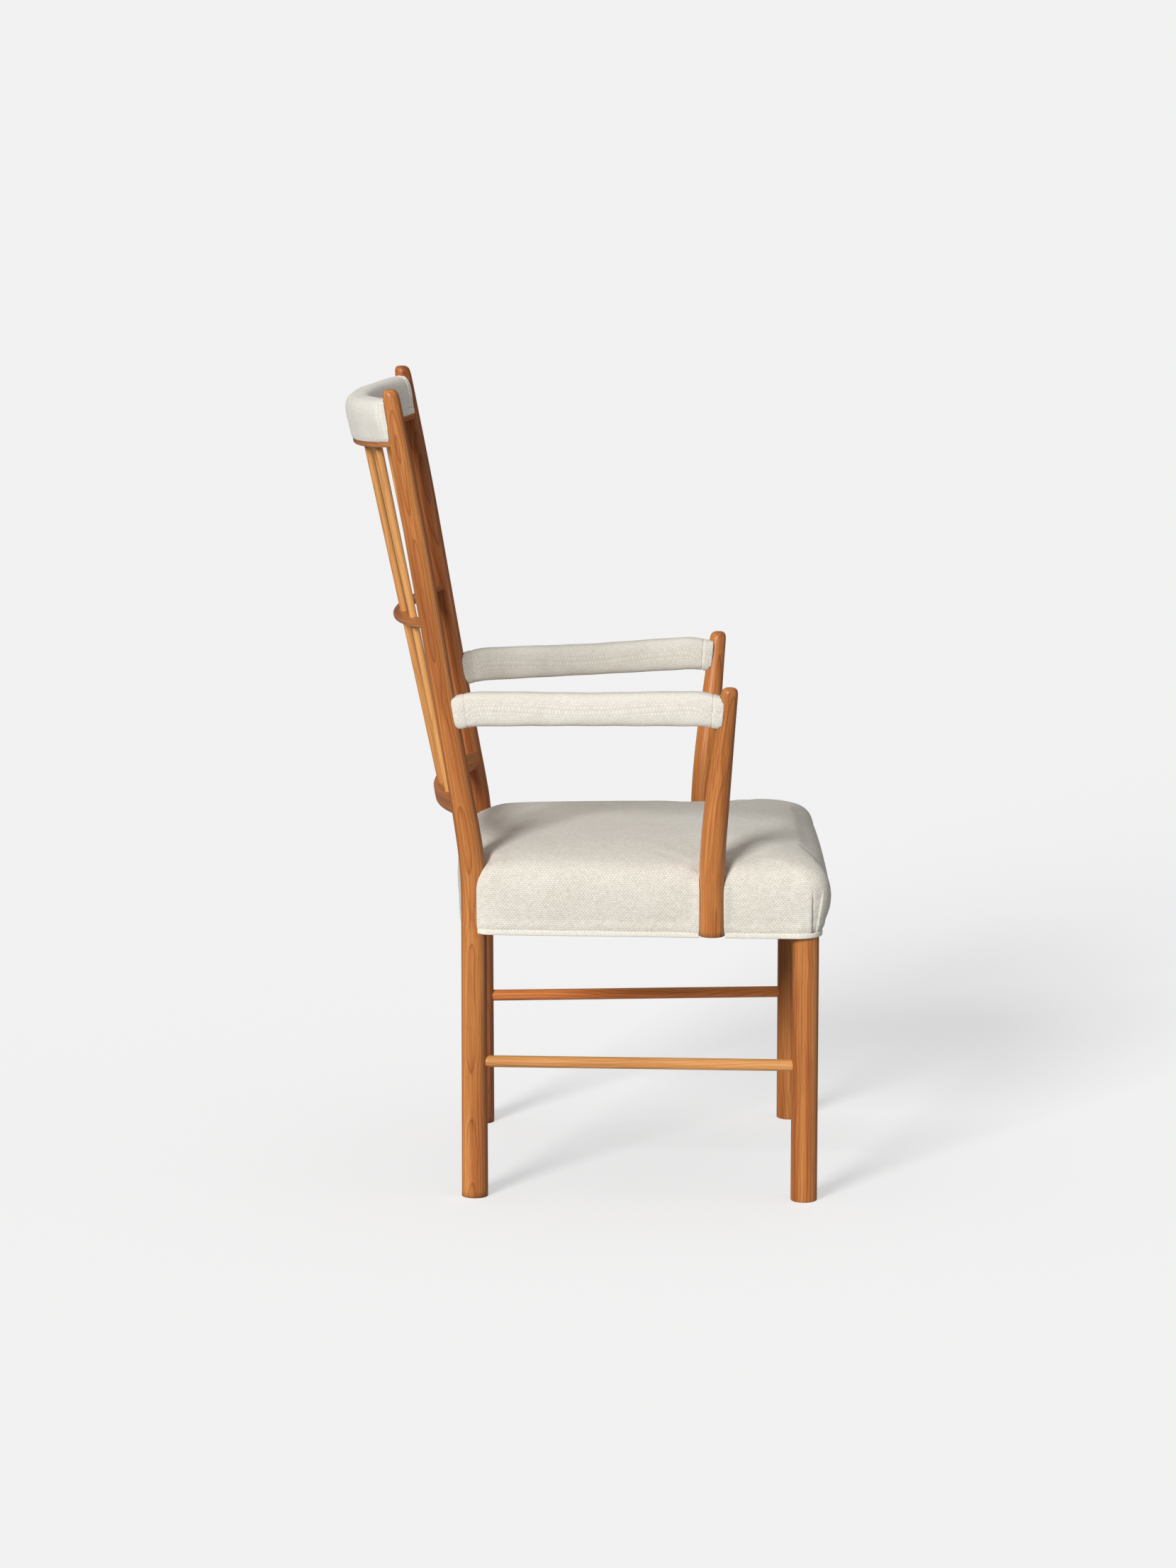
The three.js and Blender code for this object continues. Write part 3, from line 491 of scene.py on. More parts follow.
def turned_profile(stations, domed, grow=0.0, spacing=0.010):
    """Close-set rings through the stations, with the dome's tip closed."""
    z, cx, cy, radius = stations.T
    if domed:
        z = np.append(z, z[-1] + TIP_RISE)
        cx, cy, radius = np.append(cx, cx[-1]), np.append(cy, cy[-1]), np.append(radius, TIP_RADIUS)
    run = np.concatenate([[0], np.cumsum(np.hypot(np.diff(z), np.diff(radius)))])
    marks = []
    for a, b in zip(run, run[1:]):
        marks.append(np.linspace(a, b, max(4, math.ceil((b - a) / spacing)), endpoint=False))
    marks = np.append(np.concatenate(marks), run[-1])
    fine = [pchip(run, values, marks) for values in (z, cx, cy, radius)]
    fine[3] = fine[3] + grow
    return np.column_stack(fine)


def turned_skin(profile, sides=TUBE_SIDES):
    """Rings of points and their places in the grain."""
    angles = np.linspace(0, 2 * math.pi, sides, endpoint=False)
    rings, grain = [], []
    for z, cx, cy, radius in profile:
        a, b = radius * np.cos(angles), radius * np.sin(angles)
        rings.append(np.column_stack([cx + a, cy + b, np.full(sides, z)]))
        grain.append(np.column_stack([a, b, np.full(sides, z)]))
    return np.array(rings), np.array(grain)


def flat_place(a, b):
    """Places in the cloth of a ring's points. Either number may be one for them all."""
    a, b = np.broadcast_arrays(a, b)
    return np.column_stack([a, b, np.zeros(len(a))])


def sewn(from_end, bands):
    """How far grooves and welts, in millimetres, lift the cloth at a distance from its end."""
    return sum(rise * MM * bell(from_end - at * MM, width * MM) for at, rise, width in bands)


def with_ends(grain):
    """Places in the grain for a loft's points, its two fan centres included."""
    return np.vstack([grain.reshape(-1, 3), grain[0].mean(0), grain[-1].mean(0)])


# Where each piece's middle lies from the pith of its tree, and a shift along the grain, so that
# no two pieces are alike. A small first pair shows nested arches, and a large one fine lines.
GRAIN = {
    "front_leg_left": (0.060, 0.050, 3.10), "front_leg_right": (0.010, 0.085, 1.00),
    "rear_post_left": (0.055, 0.020, 5.20), "rear_post_right": (0.030, -0.006, 0.35),
    "arm_post_left": (0.050, 0.030, 7.10), "arm_post_right": (0.036, 0.012, 8.40),
}

posts = {}
for side_name, side in SIDES:
    for part, domed in (("front_leg", False), ("rear_post", True), ("arm_post", True)):
        node = f"{part}_{side_name}"
        stations = turned_stations(node)
        posts[node] = stations
        rings, grain = turned_skin(turned_profile(stations, domed))
        # The far rear post takes the darker copy of the wood, as painted shade.
        wood_tone = shaded_wood if node == "rear_post_left" else wood
        place = with_ends(grain) + GRAIN[node]
        piece = make_mesh(f"turned_{node}", *loft(rings), wood_tone, "wood", grain=place)
        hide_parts(node)


def post_cutter(name, node, grow, low, high):
    """A post's solid between two heights, made bigger all round."""
    stations = posts[node]
    z, cx, cy, radius = turned_profile(stations, node.startswith(("rear", "arm")), grow).T
    keep = np.linspace(low, high, CUTTER_LEVELS)
    profile = np.column_stack([keep] + [np.interp(keep, z, v) for v in (cx, cy, radius)])
    return new_object(name, *loft(turned_skin(profile, CUTTER_SIDES)[0]))


# ---- straight round rods

ROD_SIDES, ROD_RINGS = 40, 40
TIP_REACH = 1.0 * MM       # a CAD rod's end face and its edge lie within this of its tip


def rod_ends(node, axis):
    """The middle of each end of a straight round CAD node that runs mostly along one axis."""
    points = node_points(node)
    run = points[:, axis]
    first = points[run < run.min() + TIP_REACH].mean(0)
    last = points[run > run.max() - TIP_REACH].mean(0)
    return first, last


def rod_skin(first, last, radius):
    """Rings of points from first to last, and their places in the grain."""
    length = np.linalg.norm(last - first)
    direction = (last - first) / length
    across = np.cross(direction, (1, 0, 0) if abs(direction[0]) < 0.8 else (0, 1, 0))
    across /= np.linalg.norm(across)
    up = np.cross(direction, across)
    angles = np.linspace(0, 2 * math.pi, ROD_SIDES, endpoint=False)
    a, b = radius * np.cos(angles), radius * np.sin(angles)
    rings, grain = [], []
    for share in np.linspace(0, 1, ROD_RINGS):
        rings.append(first + (last - first) * share + np.outer(a, across) + np.outer(b, up))
        grain.append(np.column_stack([a, b, np.full(ROD_SIDES, share * length)]))
    return np.array(rings), np.array(grain)


def add_rod(node, axis, radius, shift, wood_tone, trim=0.0):
    """A round rod in a CAD node's place, each end shorter by trim."""
    first, last = rod_ends(node, axis)
    inward = (last - first) / np.linalg.norm(last - first) * trim
    rings, grain = rod_skin(first + inward, last - inward, radius)
    piece = make_mesh(f"round_{node}", *loft(rings), wood_tone, "wood", grain=with_ends(grain) + shift)
    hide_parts(node)


STRETCHER_RADIUS = 8.2 * MM
SPINDLE_RADIUS = 5.35 * MM
TENON_TRIM = 4 * MM        # ends inside other wood stop this short of the CAD model's
for index, (side_name, _) in enumerate(SIDES):
    shift = (0.04 + 0.02 * index, 0.02, 11.0 + index)
    # The far stretcher, in shade, takes the lighter red copy as painted light; the near one takes the pale
    # wood.
    wood_tone = (painted_light_red_wood, pale_wood)[index]
    add_rod(f"side_stretcher_{side_name}", 1, STRETCHER_RADIUS, shift, wood_tone, trim=TENON_TRIM)
for index in range(4):
    shift = (0.03 + 0.013 * index, 0.03, 15.0 + index)
    add_rod(f"spindle_{index + 1}", 2, SPINDLE_RADIUS, shift, pale_wood)

# ---- bowed back members


def post_axis(node, height):
    """X and Y of a post's axis at a height."""
    z, cx, cy, _ = posts[node].T
    return np.array([np.interp(height, z, cx), np.interp(height, z, cy)])


BACK_LOW, BACK_HIGH = 0.60, 1.05      # the back's lean is taken between these heights
RUN_BACK = post_axis("rear_post_left", BACK_HIGH)[1] - post_axis("rear_post_left", BACK_LOW)[1]
LEAN = math.atan(RUN_BACK / (BACK_HIGH - BACK_LOW))


def bow_arc(member):
    """Half the span between the posts' axes, the arc's rise, and its radius."""
    half = post_axis("rear_post_left", member["z"])[0]
    rise = member["sagitta"] / math.cos(LEAN)
    return half, rise, (half * half + rise * rise) / (2 * rise)


def bow_v(member, u):
    """How far behind the posts' axes a member's centre line passes."""
    _, rise, radius = bow_arc(member)
    return rise - radius + np.sqrt(radius * radius - u * u) - member["fore"]


def bow_point(member, angle, n, w):
    """A point at an angle along the bow, n rearwards of its centre line and w up the back."""
    radius = bow_arc(member)[2]
    n, w = np.asarray(n, float), np.asarray(w, float)
    u = (radius + n) * np.sin(angle)
    v = bow_v(member, radius * np.sin(angle)) + n * np.cos(angle)
    y = post_axis("rear_post_left", member["z"])[1] + v * math.cos(LEAN) + w * math.sin(LEAN)
    z = member["z"] - v * math.sin(LEAN) + w * math.cos(LEAN)
    return np.column_stack([u, y, z])


def rounded_section(depth, height, soft, per_corner=5):
    """A rectangle with rounded corners, as across and up."""
    outline = []
    for corner, (a, b) in enumerate(((1, 1), (-1, 1), (-1, -1), (1, -1))):
        for k in range(per_corner + 1):
            angle = (corner + k / per_corner) * math.pi / 2
            outline.append((a * (depth / 2 - soft) + soft * math.cos(angle),
                            b * (height / 2 - soft) + soft * math.sin(angle)))
    return np.array(outline)


BOW_RINGS = 73


def add_bow(node, member, shift):
    """A bowed rail in a CAD node's place, its ends inside the posts."""
    half, _, radius = bow_arc(member)
    reach = math.asin((half - TENON_TRIM) / radius)
    rings, grain = [], []
    for angle in np.linspace(-reach, reach, BOW_RINGS):
        ease = (angle / reach) ** 2
        depth = member["depth"] + (member["end"] - member["depth"]) * ease
        section = rounded_section(depth, member["height"], min(member["soft"], member["height"] * 0.45))
        rings.append(bow_point(member, angle, section[:, 0], section[:, 1]))
        grain.append(np.column_stack([section[:, 1], section[:, 0], np.full(len(section), radius * angle)]))
    place = with_ends(np.array(grain)) + shift
    piece = make_mesh(f"bowed_{node}", *loft(rings), wood, "wood", grain=place)
    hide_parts(node)


add_bow("headrest_rail", HEADREST_RAIL, (0.050, 0.040, 21.0))
add_bow("mid_back_rail", MID_RAIL, (0.045, 0.030, 23.0))
add_bow("lower_back_rail", LOWER_RAIL, (0.030, 0.026, 25.0))

# ---- headrest sleeve

SLEEVE_BOTTOM = SLEEVE["bottom"] - HEADREST_RAIL["height"] / 2


def sleeve_section(share, turns):
    """The sleeve's outline at a share of the half-span, over angles from 0 to 2 pi."""
    skin = HEADREST_RAIL["depth"] / 2 + SLEEVE["skin"]
    bottom = SLEEVE_BOTTOM
    top = SLEEVE["top"] - SLEEVE["top_drop"] * share ** 2
    front = SLEEVE["front"] + SLEEVE["front_ease"] * share ** 2
    rear = SLEEVE["rear"] + SLEEVE["rear_ease"] * share ** 2
    middle = (bottom + top) / 2 + 4 * MM
    c, s = np.cos(turns), np.sin(turns)
    low = s < 0
    across = np.sign(c) * np.abs(c) ** (0.75 - 0.67 * smoothstep(0, 0.8, -s))
    up = np.sign(s) * np.abs(s) ** np.where(low, 0.9, 0.75)
    swell = np.where(low, 1 - up * up, 1.0)
    rear_n = skin + (rear - skin) * swell
    front_n = -skin + (front + skin) * swell
    w = middle + np.where(low, middle - bottom, top - middle) * up
    return (rear_n + front_n) / 2 + (rear_n - front_n) / 2 * across, w


REAR_TUCK = 14.5 * MM      # how far behind the posts' axes the sleeve ends where it meets them
FINE_WEAVE = 1.3           # the headrest's weave is this much finer than the arms'
HEADREST_SIDES = 120
# Where the rings near each end lie, from the end, in millimetres, then the even rings between.
END_RINGS = (0.0, 0.3, 0.8, 1.5, 2.5, 3.6, 4.3, 5.0, 5.7, 6.4, 7.6, 8.9, 9.6, 10.3, 11.0, 11.8, 13.0, 16.0,
             21.0, 30.0)
EVEN_FROM, EVEN_RINGS = 36 * MM, 74
# Channels and welts at each end: place from the end, rise and half-width, in millimetres.
HEADREST_BANDS = ((5, -1.3, 0.8), (10.3, -1.3, 0.9), (2.6, 0.6, 1.4), (7.6, 0.5, 1.8))


def add_headrest():
    half, _, radius = bow_arc(HEADREST_RAIL)
    reach = math.asin((half - 7 * MM) / radius)
    # The outline starts underneath, so that the cloth's seam lies there.
    turns = np.linspace(0, 2 * math.pi, HEADREST_SIDES, endpoint=False) - math.pi / 2
    bottom = SLEEVE_BOTTOM
    run = radius * reach
    near = np.array(END_RINGS) * MM
    even = np.linspace(-run + EVEN_FROM, run - EVEN_FROM, EVEN_RINGS)
    marks = np.concatenate([-run + near, even, (run - near)[::-1]])
    rings, cloth = [], []
    for mark in marks:
        angle = mark / radius
        n, w = sleeve_section(abs(mark) / run, turns)
        from_end = run - abs(mark)
        tuck = 1 - smoothstep(0, 16 * MM, from_end)
        n = np.where(n > REAR_TUCK, REAR_TUCK + (n - REAR_TUCK) * (1 - tuck), n)
        centre = np.array([n.mean(), w.mean()])
        out = np.column_stack([n, w]) - centre
        length = np.linalg.norm(out, axis=1)
        # Two sewn channels at each end, a welt between them, and a piped line low on the front.
        change = sewn(from_end, HEADREST_BANDS)
        change = change * smoothstep(5 * MM, 12 * MM, w - bottom) * np.where(n > centre[0], 0.35, 1.0)
        change = change - 1.0 * MM * bell(w - bottom - 10 * MM, 0.9 * MM) * (n < centre[0])
        puff = 0.5 * MM * np.sin(mark * 46 + 1.3) * np.sin(w * 90 + mark * 17)
        grown = centre + out * ((length + change + puff * (w > bottom + 6 * MM)) / length)[:, None]
        # Behind the rail the sleeve reaches further round the posts.
        onward = 6 * MM * smoothstep(-6 * MM, 6 * MM, n) * (1 - smoothstep(0, 14 * MM, from_end))
        angle = angle + math.copysign(1, mark) * onward / radius
        rings.append(bow_point(HEADREST_RAIL, angle, grown[:, 0], grown[:, 1]))
        girth = np.cumsum(np.hypot(np.diff(n, append=n[0]), np.diff(w, append=w[0])))
        cloth.append(FINE_WEAVE * flat_place(mark, girth))
    place = with_ends(np.array(cloth))
    # The sleeve is made in the lighter copy of the linen, as painted light.
    piece = make_mesh("headrest_sleeve", *loft(rings), linen_painted_light, "linen", cloth=place)
    # Room for the rail, 0.5 mm clear all round it, and for the posts.
    depth, height = HEADREST_RAIL["depth"] + 1.0 * MM, HEADREST_RAIL["height"] + 1.0 * MM
    section = rounded_section(depth, height, HEADREST_RAIL["soft"])
    wide = math.asin(half / radius)
    hollow = [bow_point(HEADREST_RAIL, angle, *section.T) for angle in np.linspace(-wide, wide, 60)]
    cutters = [new_object("rail_room", *loft(hollow))]
    for word, _ in SIDES:
        cutters.append(post_cutter(f"post_room_{word}", f"rear_post_{word}", COVER_GAP, 1.00, 1.125))
    cut_away(piece, *cutters)
    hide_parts("headrest_pad")


add_headrest()

# ---- arm sleeves


ARM_REAR_Y = post_axis("rear_post_left", ARM["rear_z"])[1]
ARM_LENGTH = ARM_REAR_Y - post_axis("arm_post_left", ARM["front_z"])[1]


def arm_endness(share):
    """0 along the arm and 1 at its ends, where it dips and narrows."""
    clear = np.minimum(share, 1 - share) * ARM_LENGTH - 14 * MM
    return np.clip(1 - clear / ARM["dip_reach"], 0, 1) ** 2


def arm_centre(side, share):
    x = ARM["rear_x"] + (ARM["front_x"] - ARM["rear_x"]) * share - ARM["bow"] * math.sin(math.pi * share)
    z = ARM["rear_z"] + (ARM["front_z"] - ARM["rear_z"]) * share - ARM["dip"] * arm_endness(share)
    return np.array([side * x, ARM_REAR_Y - ARM_LENGTH * share, z])


def lean_at(node, height, span=0.04):
    """How far a post moves along Y for each metre up, at a height."""
    return (post_axis(node, height + span)[1] - post_axis(node, height - span)[1]) / (2 * span)


REAR_LEAN = lean_at("rear_post_left", ARM["rear_z"])
FRONT_LEAN = lean_at("arm_post_left", ARM["front_z"])


ARM_SIDES = 72
SQUARENESS = 0.62          # 1 is an oval section, and less is squarer
# Where the rings near each end lie, in millimetres: of the mouth, and of the sewn end band.
MOUTH_RINGS = (0, 0.25, 0.7, 1.3, 2.0, 3.0, 5.0)
BAND_RINGS = (0, 0.6, 2, 5, 8, 9.3, 10.0, 10.7, 11.4, 12.5, 14, 17, 21, 26)
EVEN_SHARE, EVEN_ARM_RINGS = 0.085, 70
# Grooves and swell of the end band: place from the post's face, rise and half-width, in millimetres.
ARM_BANDS = ((10, -1.1, 0.7), (4, 0.7, 5), (5.6, -0.8, 0.6))
MOUTH_LIP = 2 * MM
CORE_GAP = 0.5 * MM


def squared(value):
    return np.sign(value) * np.abs(value) ** SQUARENESS


def add_arm_sleeve(side_name, side):
    # The outline starts underneath, so that the cloth's seam lies there.
    turns = np.linspace(0, 2 * math.pi, ARM_SIDES, endpoint=False) - math.pi / 2
    start = ARM["rear_wrap"] / ARM_LENGTH
    stop = 1 - ARM["front_wrap"] / ARM_LENGTH
    # The part of the sleeve past the posts' faces is cut away, so its end bands start there.
    rear_face = start + 8 * MM / ARM_LENGTH
    front_face = stop - 5 * MM / ARM_LENGTH
    mouth = np.array(MOUTH_RINGS) * MM / ARM_LENGTH
    band = np.array(BAND_RINGS) * MM / ARM_LENGTH
    even = np.linspace(rear_face + EVEN_SHARE, front_face - EVEN_SHARE, EVEN_ARM_RINGS)
    shares = np.concatenate([start + mouth, rear_face + band, even, (front_face - band)[::-1],
                             (stop - mouth[:-2])[::-1]])
    outer, inner, cloth = [], [], []
    for share in shares:
        centre = arm_centre(side, share)
        end = arm_endness(share)
        wave = (1 - end) * math.cos(2 * math.pi * 1.45 * (share - 0.16)) * MM
        width = ARM["width"] + (ARM["end_width"] - ARM["width"]) * end
        height = ARM["height"] + (ARM["end_height"] - ARM["height"]) * end + wave
        from_end = min(share - rear_face, front_face - share) * ARM_LENGTH
        seam = sewn(from_end, ARM_BANDS)
        ripple = 0.25 * MM * np.sin(9 * turns + 60 * share) * float(bell(from_end - 13 * MM, 5 * MM))
        puff = 0.35 * MM * np.sin(3 * turns + 23 * share) * math.sin(17 * share)
        from_mouth = np.clip(min(share - start, stop - share) * ARM_LENGTH / MOUTH_LIP, 0, 1)
        grow = seam + ripple + puff - MOUTH_LIP * (1 - math.sqrt(1 - (1 - from_mouth) ** 2))
        lean = REAR_LEAN * smoothstep(0.22, 0.0, share) + FRONT_LEAN * smoothstep(0.80, 1.0, share)
        across = (width / 2 + grow) * squared(np.cos(turns))
        rise = (height / 2 + grow) * squared(np.sin(turns))
        middle = centre[2] + wave / 2
        outer.append(np.column_stack([centre[0] + across, centre[1] + lean * rise, middle + rise]))
        across = (ARM["core_w"] / 2 + CORE_GAP) * np.cos(turns)
        rise = (ARM["core_h"] / 2 + CORE_GAP) * np.sin(turns)
        inner.append(np.column_stack([centre[0] + across, centre[1] + lean * rise, centre[2] + rise]))
        girth = np.linspace(0, math.pi * (width + height) / 2, len(turns))
        cloth.append(flat_place(share * ARM_LENGTH, girth))
    # Out along the outer skin and back along the inner one, which is closed into a tube's wall.
    rings = np.array(outer + inner[::-1])
    places = np.array(cloth + cloth[::-1]).reshape(-1, 3)
    points, faces = rings.reshape(-1, 3), grid_faces(len(rings), len(turns), close_rows=True)
    piece = make_mesh(f"arm_sleeve_{side_name}", points, faces, linen_sleeve, "linen", cloth=places)
    cut_away(piece, post_cutter("rear_room", f"rear_post_{side_name}", COVER_GAP, 0.60, 0.78),
             post_cutter("front_room", f"arm_post_{side_name}", COVER_GAP, 0.60, 0.729))
    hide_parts(f"arm_pad_{side_name}")


for side_name, side in SIDES:
    add_arm_sleeve(side_name, side)

# ---- seat cover


def seat_half(y):
    """Half the seat's width at a Y."""
    share = (y - SEAT["rear_y"]) / (SEAT["front_y"] - SEAT["rear_y"])
    return SEAT["rear_half"] + (SEAT["front_half"] - SEAT["rear_half"]) * share


def resample(points, count):
    """A closed outline's points, evenly spaced."""
    loop = np.vstack([points, points[:1]])
    run = np.concatenate([[0], np.cumsum(np.linalg.norm(np.diff(loop, axis=0), axis=1))])
    marks = np.linspace(0, run[-1], count, endpoint=False)
    return np.column_stack([np.interp(marks, run, loop[:, k]) for k in range(loop.shape[1])])


def seat_outline(bulge, inset, side_inset, count=240):
    """The cover's plan outline, counter-clockwise from the middle of the front."""
    front = SEAT["front_y"] - SEAT["bulge"] * bulge + inset
    back = SEAT["back_y"] + 3 * MM * bulge - side_inset
    corner = SEAT["corner"]
    side_out = 2 * MM * bulge - side_inset
    front_x = seat_half(front + corner) + side_out
    flare = 3 * MM
    half = [(front_x * 0.86 * t, front + flare * t * t) for t in np.linspace(0, 1, 12, endpoint=False)]
    start = front + flare + corner
    for angle in np.linspace(-math.pi / 2, 0, 10):
        half.append((front_x - corner + corner * math.cos(angle), start + corner * math.sin(angle)))
    for y in np.linspace(start, SEAT["rear_y"] + (11 - 3 * bulge) * MM, 24)[1:]:
        half.append((seat_half(y) + side_out, y))
    half.append((seat_half(SEAT["rear_y"]) - 20 * MM + side_out, SEAT["rear_y"] + 24 * MM))
    for t in np.linspace(1, 0, 12, endpoint=False):
        half.append((SEAT["back_flat"] * t, back - 9 * MM * t * t))
    half = np.array(half)
    outline = np.vstack([half, [[0, back]], half[1:][::-1] * (-1, 1)])
    for _ in range(2):
        # Corner cutting, which rounds what is left of the corners.
        following = np.roll(outline, -1, axis=0)
        pairs = [0.75 * outline + 0.25 * following, 0.25 * outline + 0.75 * following]
        outline = np.stack(pairs, 1).reshape(-1, 2)
    start = np.argmin(np.abs(outline[:, 0]) + (outline[:, 1] > 0))
    return resample(np.roll(outline, -start, axis=0), count)


# Height, bulge, and inset of the front and of the sides up the cover, then height and shrink over
# the crown, in millimetres.
SEAT_SIDE = np.array([
    (380, 0.0, 0, 0), (384.8, 0.05, 0, 0), (400, 0.50, 0, 0), (425, 0.90, 0, 0), (445, 1.00, 0.5, 0.3),
    (453, 1.00, 1.5, 0.8), (461, 0.97, 3.5, 2.0), (467.5, 0.90, 6.0, 4.2), (473, 0.78, 9, 8.0),
    (477.5, 0.62, 12.5, 13), (481, 0.48, 18, 20)])
SEAT_SIDE_RINGS = 34
SEAT_CROWN = ((486.0, 0.93), (491.0, 0.83), (495.4, 0.68), (497.6, 0.50), (498.2, 0.30))


def seat_rings():
    z = SEAT_SIDE[:, 0]
    marks = np.append(np.linspace(z[0], z[-2], SEAT_SIDE_RINGS), z[-1])
    rings = []
    for height, bulge, front, side in zip(marks, *(pchip(z, column, marks) for column in SEAT_SIDE.T[1:])):
        outline = seat_outline(bulge, front * MM, side * MM)
        rings.append(np.column_stack([outline, np.full(len(outline), height * MM)]))
    rim = rings[-1]
    middle = np.array([0, (SEAT["front_y"] + SEAT["back_y"]) / 2])
    for height, shrink in SEAT_CROWN:
        outline = middle + (rim[:, :2] - middle) * shrink
        rings.append(np.column_stack([outline, np.full(len(outline), height * MM)]))
    return np.array(rings)


VOXEL = 6 * MM
PRESHRINK = 2 * MM         # the cover is drawn in this far before it is filled
CLOTH_CAP = 3.5 * MM       # and no point of it ends further than about this from there
CLOTH_FRAMES = 20


def puff_up(obj, pinned):
    """Fills a closed mesh with air as cloth, held where pinned is true, and applies the result."""
    before = object_points(obj)
    group = obj.vertex_groups.new(name="held")
    group.add([int(i) for i in np.where(pinned)[0]], 1.0, "REPLACE")
    cloth = obj.modifiers.new("Cloth", "CLOTH")
    settings = dict(quality=4, mass=0.35, tension_stiffness=22, compression_stiffness=22,
                    bending_stiffness=1.5, use_pressure=True, uniform_pressure_force=4)
    for key, value in settings.items():
        setattr(cloth.settings, key, value)
    cloth.settings.effector_weights.gravity = 0
    cloth.settings.vertex_group_mass = "held"
    cloth.point_cache.frame_start = 1
    cloth.point_cache.frame_end = CLOTH_FRAMES
    for at in range(1, CLOTH_FRAMES + 1):
        bpy.context.scene.frame_set(at)
    apply_modifiers(obj)
    bpy.context.scene.frame_set(1)
    moved = object_points(obj) - before
    length = np.linalg.norm(moved, axis=1)
    limit = CLOTH_CAP * np.tanh(length / CLOTH_CAP)
    set_points(obj, before + moved * (limit / np.maximum(length, 1e-9))[:, None])


SEAT_POSTS = [f"{part}_{word}" for word, _ in SIDES for part in ("rear_post", "arm_post")]


def near_post(points, node):
    """Distance of each point from a post's face, level with it."""
    z, cx, cy, radius = posts[node].T
    height = np.clip(points[:, 2], z[0], z[-1])
    away = np.hypot(points[:, 0] - np.interp(height, z, cx), points[:, 1] - np.interp(height, z, cy))
    return away - np.interp(height, z, radius)


def vertex_normals(obj):
    normals = np.empty(len(obj.data.vertices) * 3)
    obj.data.vertex_normals.foreach_get("vector", normals)
    return normals.reshape(-1, 3)


def add_seat():
    obj = make_mesh("seat_cover", *loft(seat_rings()), linen, "linen")
    remesh = obj.modifiers.new("voxels", "REMESH")
    remesh.mode = "VOXEL"
    remesh.voxel_size = VOXEL
    remesh.use_smooth_shade = True
    apply_modifiers(obj)
    soften = obj.modifiers.new("soften", "SMOOTH")
    soften.factor, soften.iterations = 0.5, 2
    apply_modifiers(obj)
    points, normals = object_points(obj), vertex_normals(obj)
    held = points[:, 2] < HEM_HIGH + 12 * MM
    for post in SEAT_POSTS:
        held |= near_post(points, post) < 6 * MM
    free = ~held
    points[free] -= normals[free] * PRESHRINK
    set_points(obj, points)
    puff_up(obj, held)
    finer = obj.modifiers.new("finer", "SUBSURF")
    finer.levels = finer.render_levels = 1
    apply_modifiers(obj)
    sew_corners(obj)
    room = [post_cutter(f"seat_room_{post}", post, COVER_GAP, 0.370, 0.56) for post in SEAT_POSTS]
    cut_away(obj, frame_room(), *room)
    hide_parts("seat_pad")


def refine(obj, chosen):
    """Halves, twice, the edges that lie wholly among the chosen points, so that folds come out crisp."""
    for _ in range(2):
        inside = chosen(object_points(obj))
        grid = bmesh.new()
        grid.from_mesh(obj.data)
        edges = [edge for edge in grid.edges if all(inside[vertex.index] for vertex in edge.verts)]
        bmesh.ops.subdivide_edges(grid, edges=edges, cuts=1, use_grid_fill=True)
        bmesh.ops.triangulate(grid, faces=[face for face in grid.faces if len(face.verts) > 4])
        grid.to_mesh(obj.data)
        grid.free()


PLEAT_TOP = 0.450          # the pleats' height, and the places of their two edges along the side
PLEAT_EDGE = -0.3065
PLEAT_SEAM = (-0.3140, -0.3235)


def corner_zone(points):
    x, y, z = np.abs(points[:, 0]), points[:, 1], points[:, 2]
    return (y < PLEAT_EDGE + 8 * MM) & (z < PLEAT_TOP + 6 * MM) & (x > 0.225)


def sew_corners(obj):
    """Tucks the cover in round the posts and folds a pleat into each front corner."""
    points, normals = object_points(obj), vertex_normals(obj)
    push = np.zeros(len(points))
    # Up its sides the cover swells a little against the posts, and on top it sinks beside them.
    tuck = -1.6 * MM + 14 * MM * smoothstep(0.440, 0.490, points[:, 2])
    for post in SEAT_POSTS:
        push -= tuck * bell(np.maximum(near_post(points, post), 0), 11 * MM)
    set_points(obj, points + normals * push[:, None])
    refine(obj, corner_zone)
    points, normals = object_points(obj), vertex_normals(obj)
    x, y, z = np.abs(points[:, 0]), points[:, 1], points[:, 2]
    sideways = smoothstep(0.252, 0.258, x)
    deep = smoothstep(PLEAT_TOP, PLEAT_TOP - 22 * MM, z) * sideways
    seam = np.interp(z, (HEM_HIGH, PLEAT_TOP), PLEAT_SEAM)
    behind = smoothstep(PLEAT_EDGE, PLEAT_EDGE - 1.2 * MM, y)
    behind = behind * smoothstep(seam - 1.5 * MM, seam + 1.5 * MM, y)
    push = -2.0 * MM * deep * behind
    push -= 1.0 * MM * deep * bell(y - PLEAT_EDGE + 0.9 * MM, 0.8 * MM)
    push += 0.7 * MM * deep * bell(y - seam, 0.9 * MM)
    push += 0.6 * MM * deep * bell(y - PLEAT_EDGE - 3.5 * MM, 3.0 * MM)
    set_points(obj, points + normals * push[:, None])


ROOM_GAP = 1 * MM


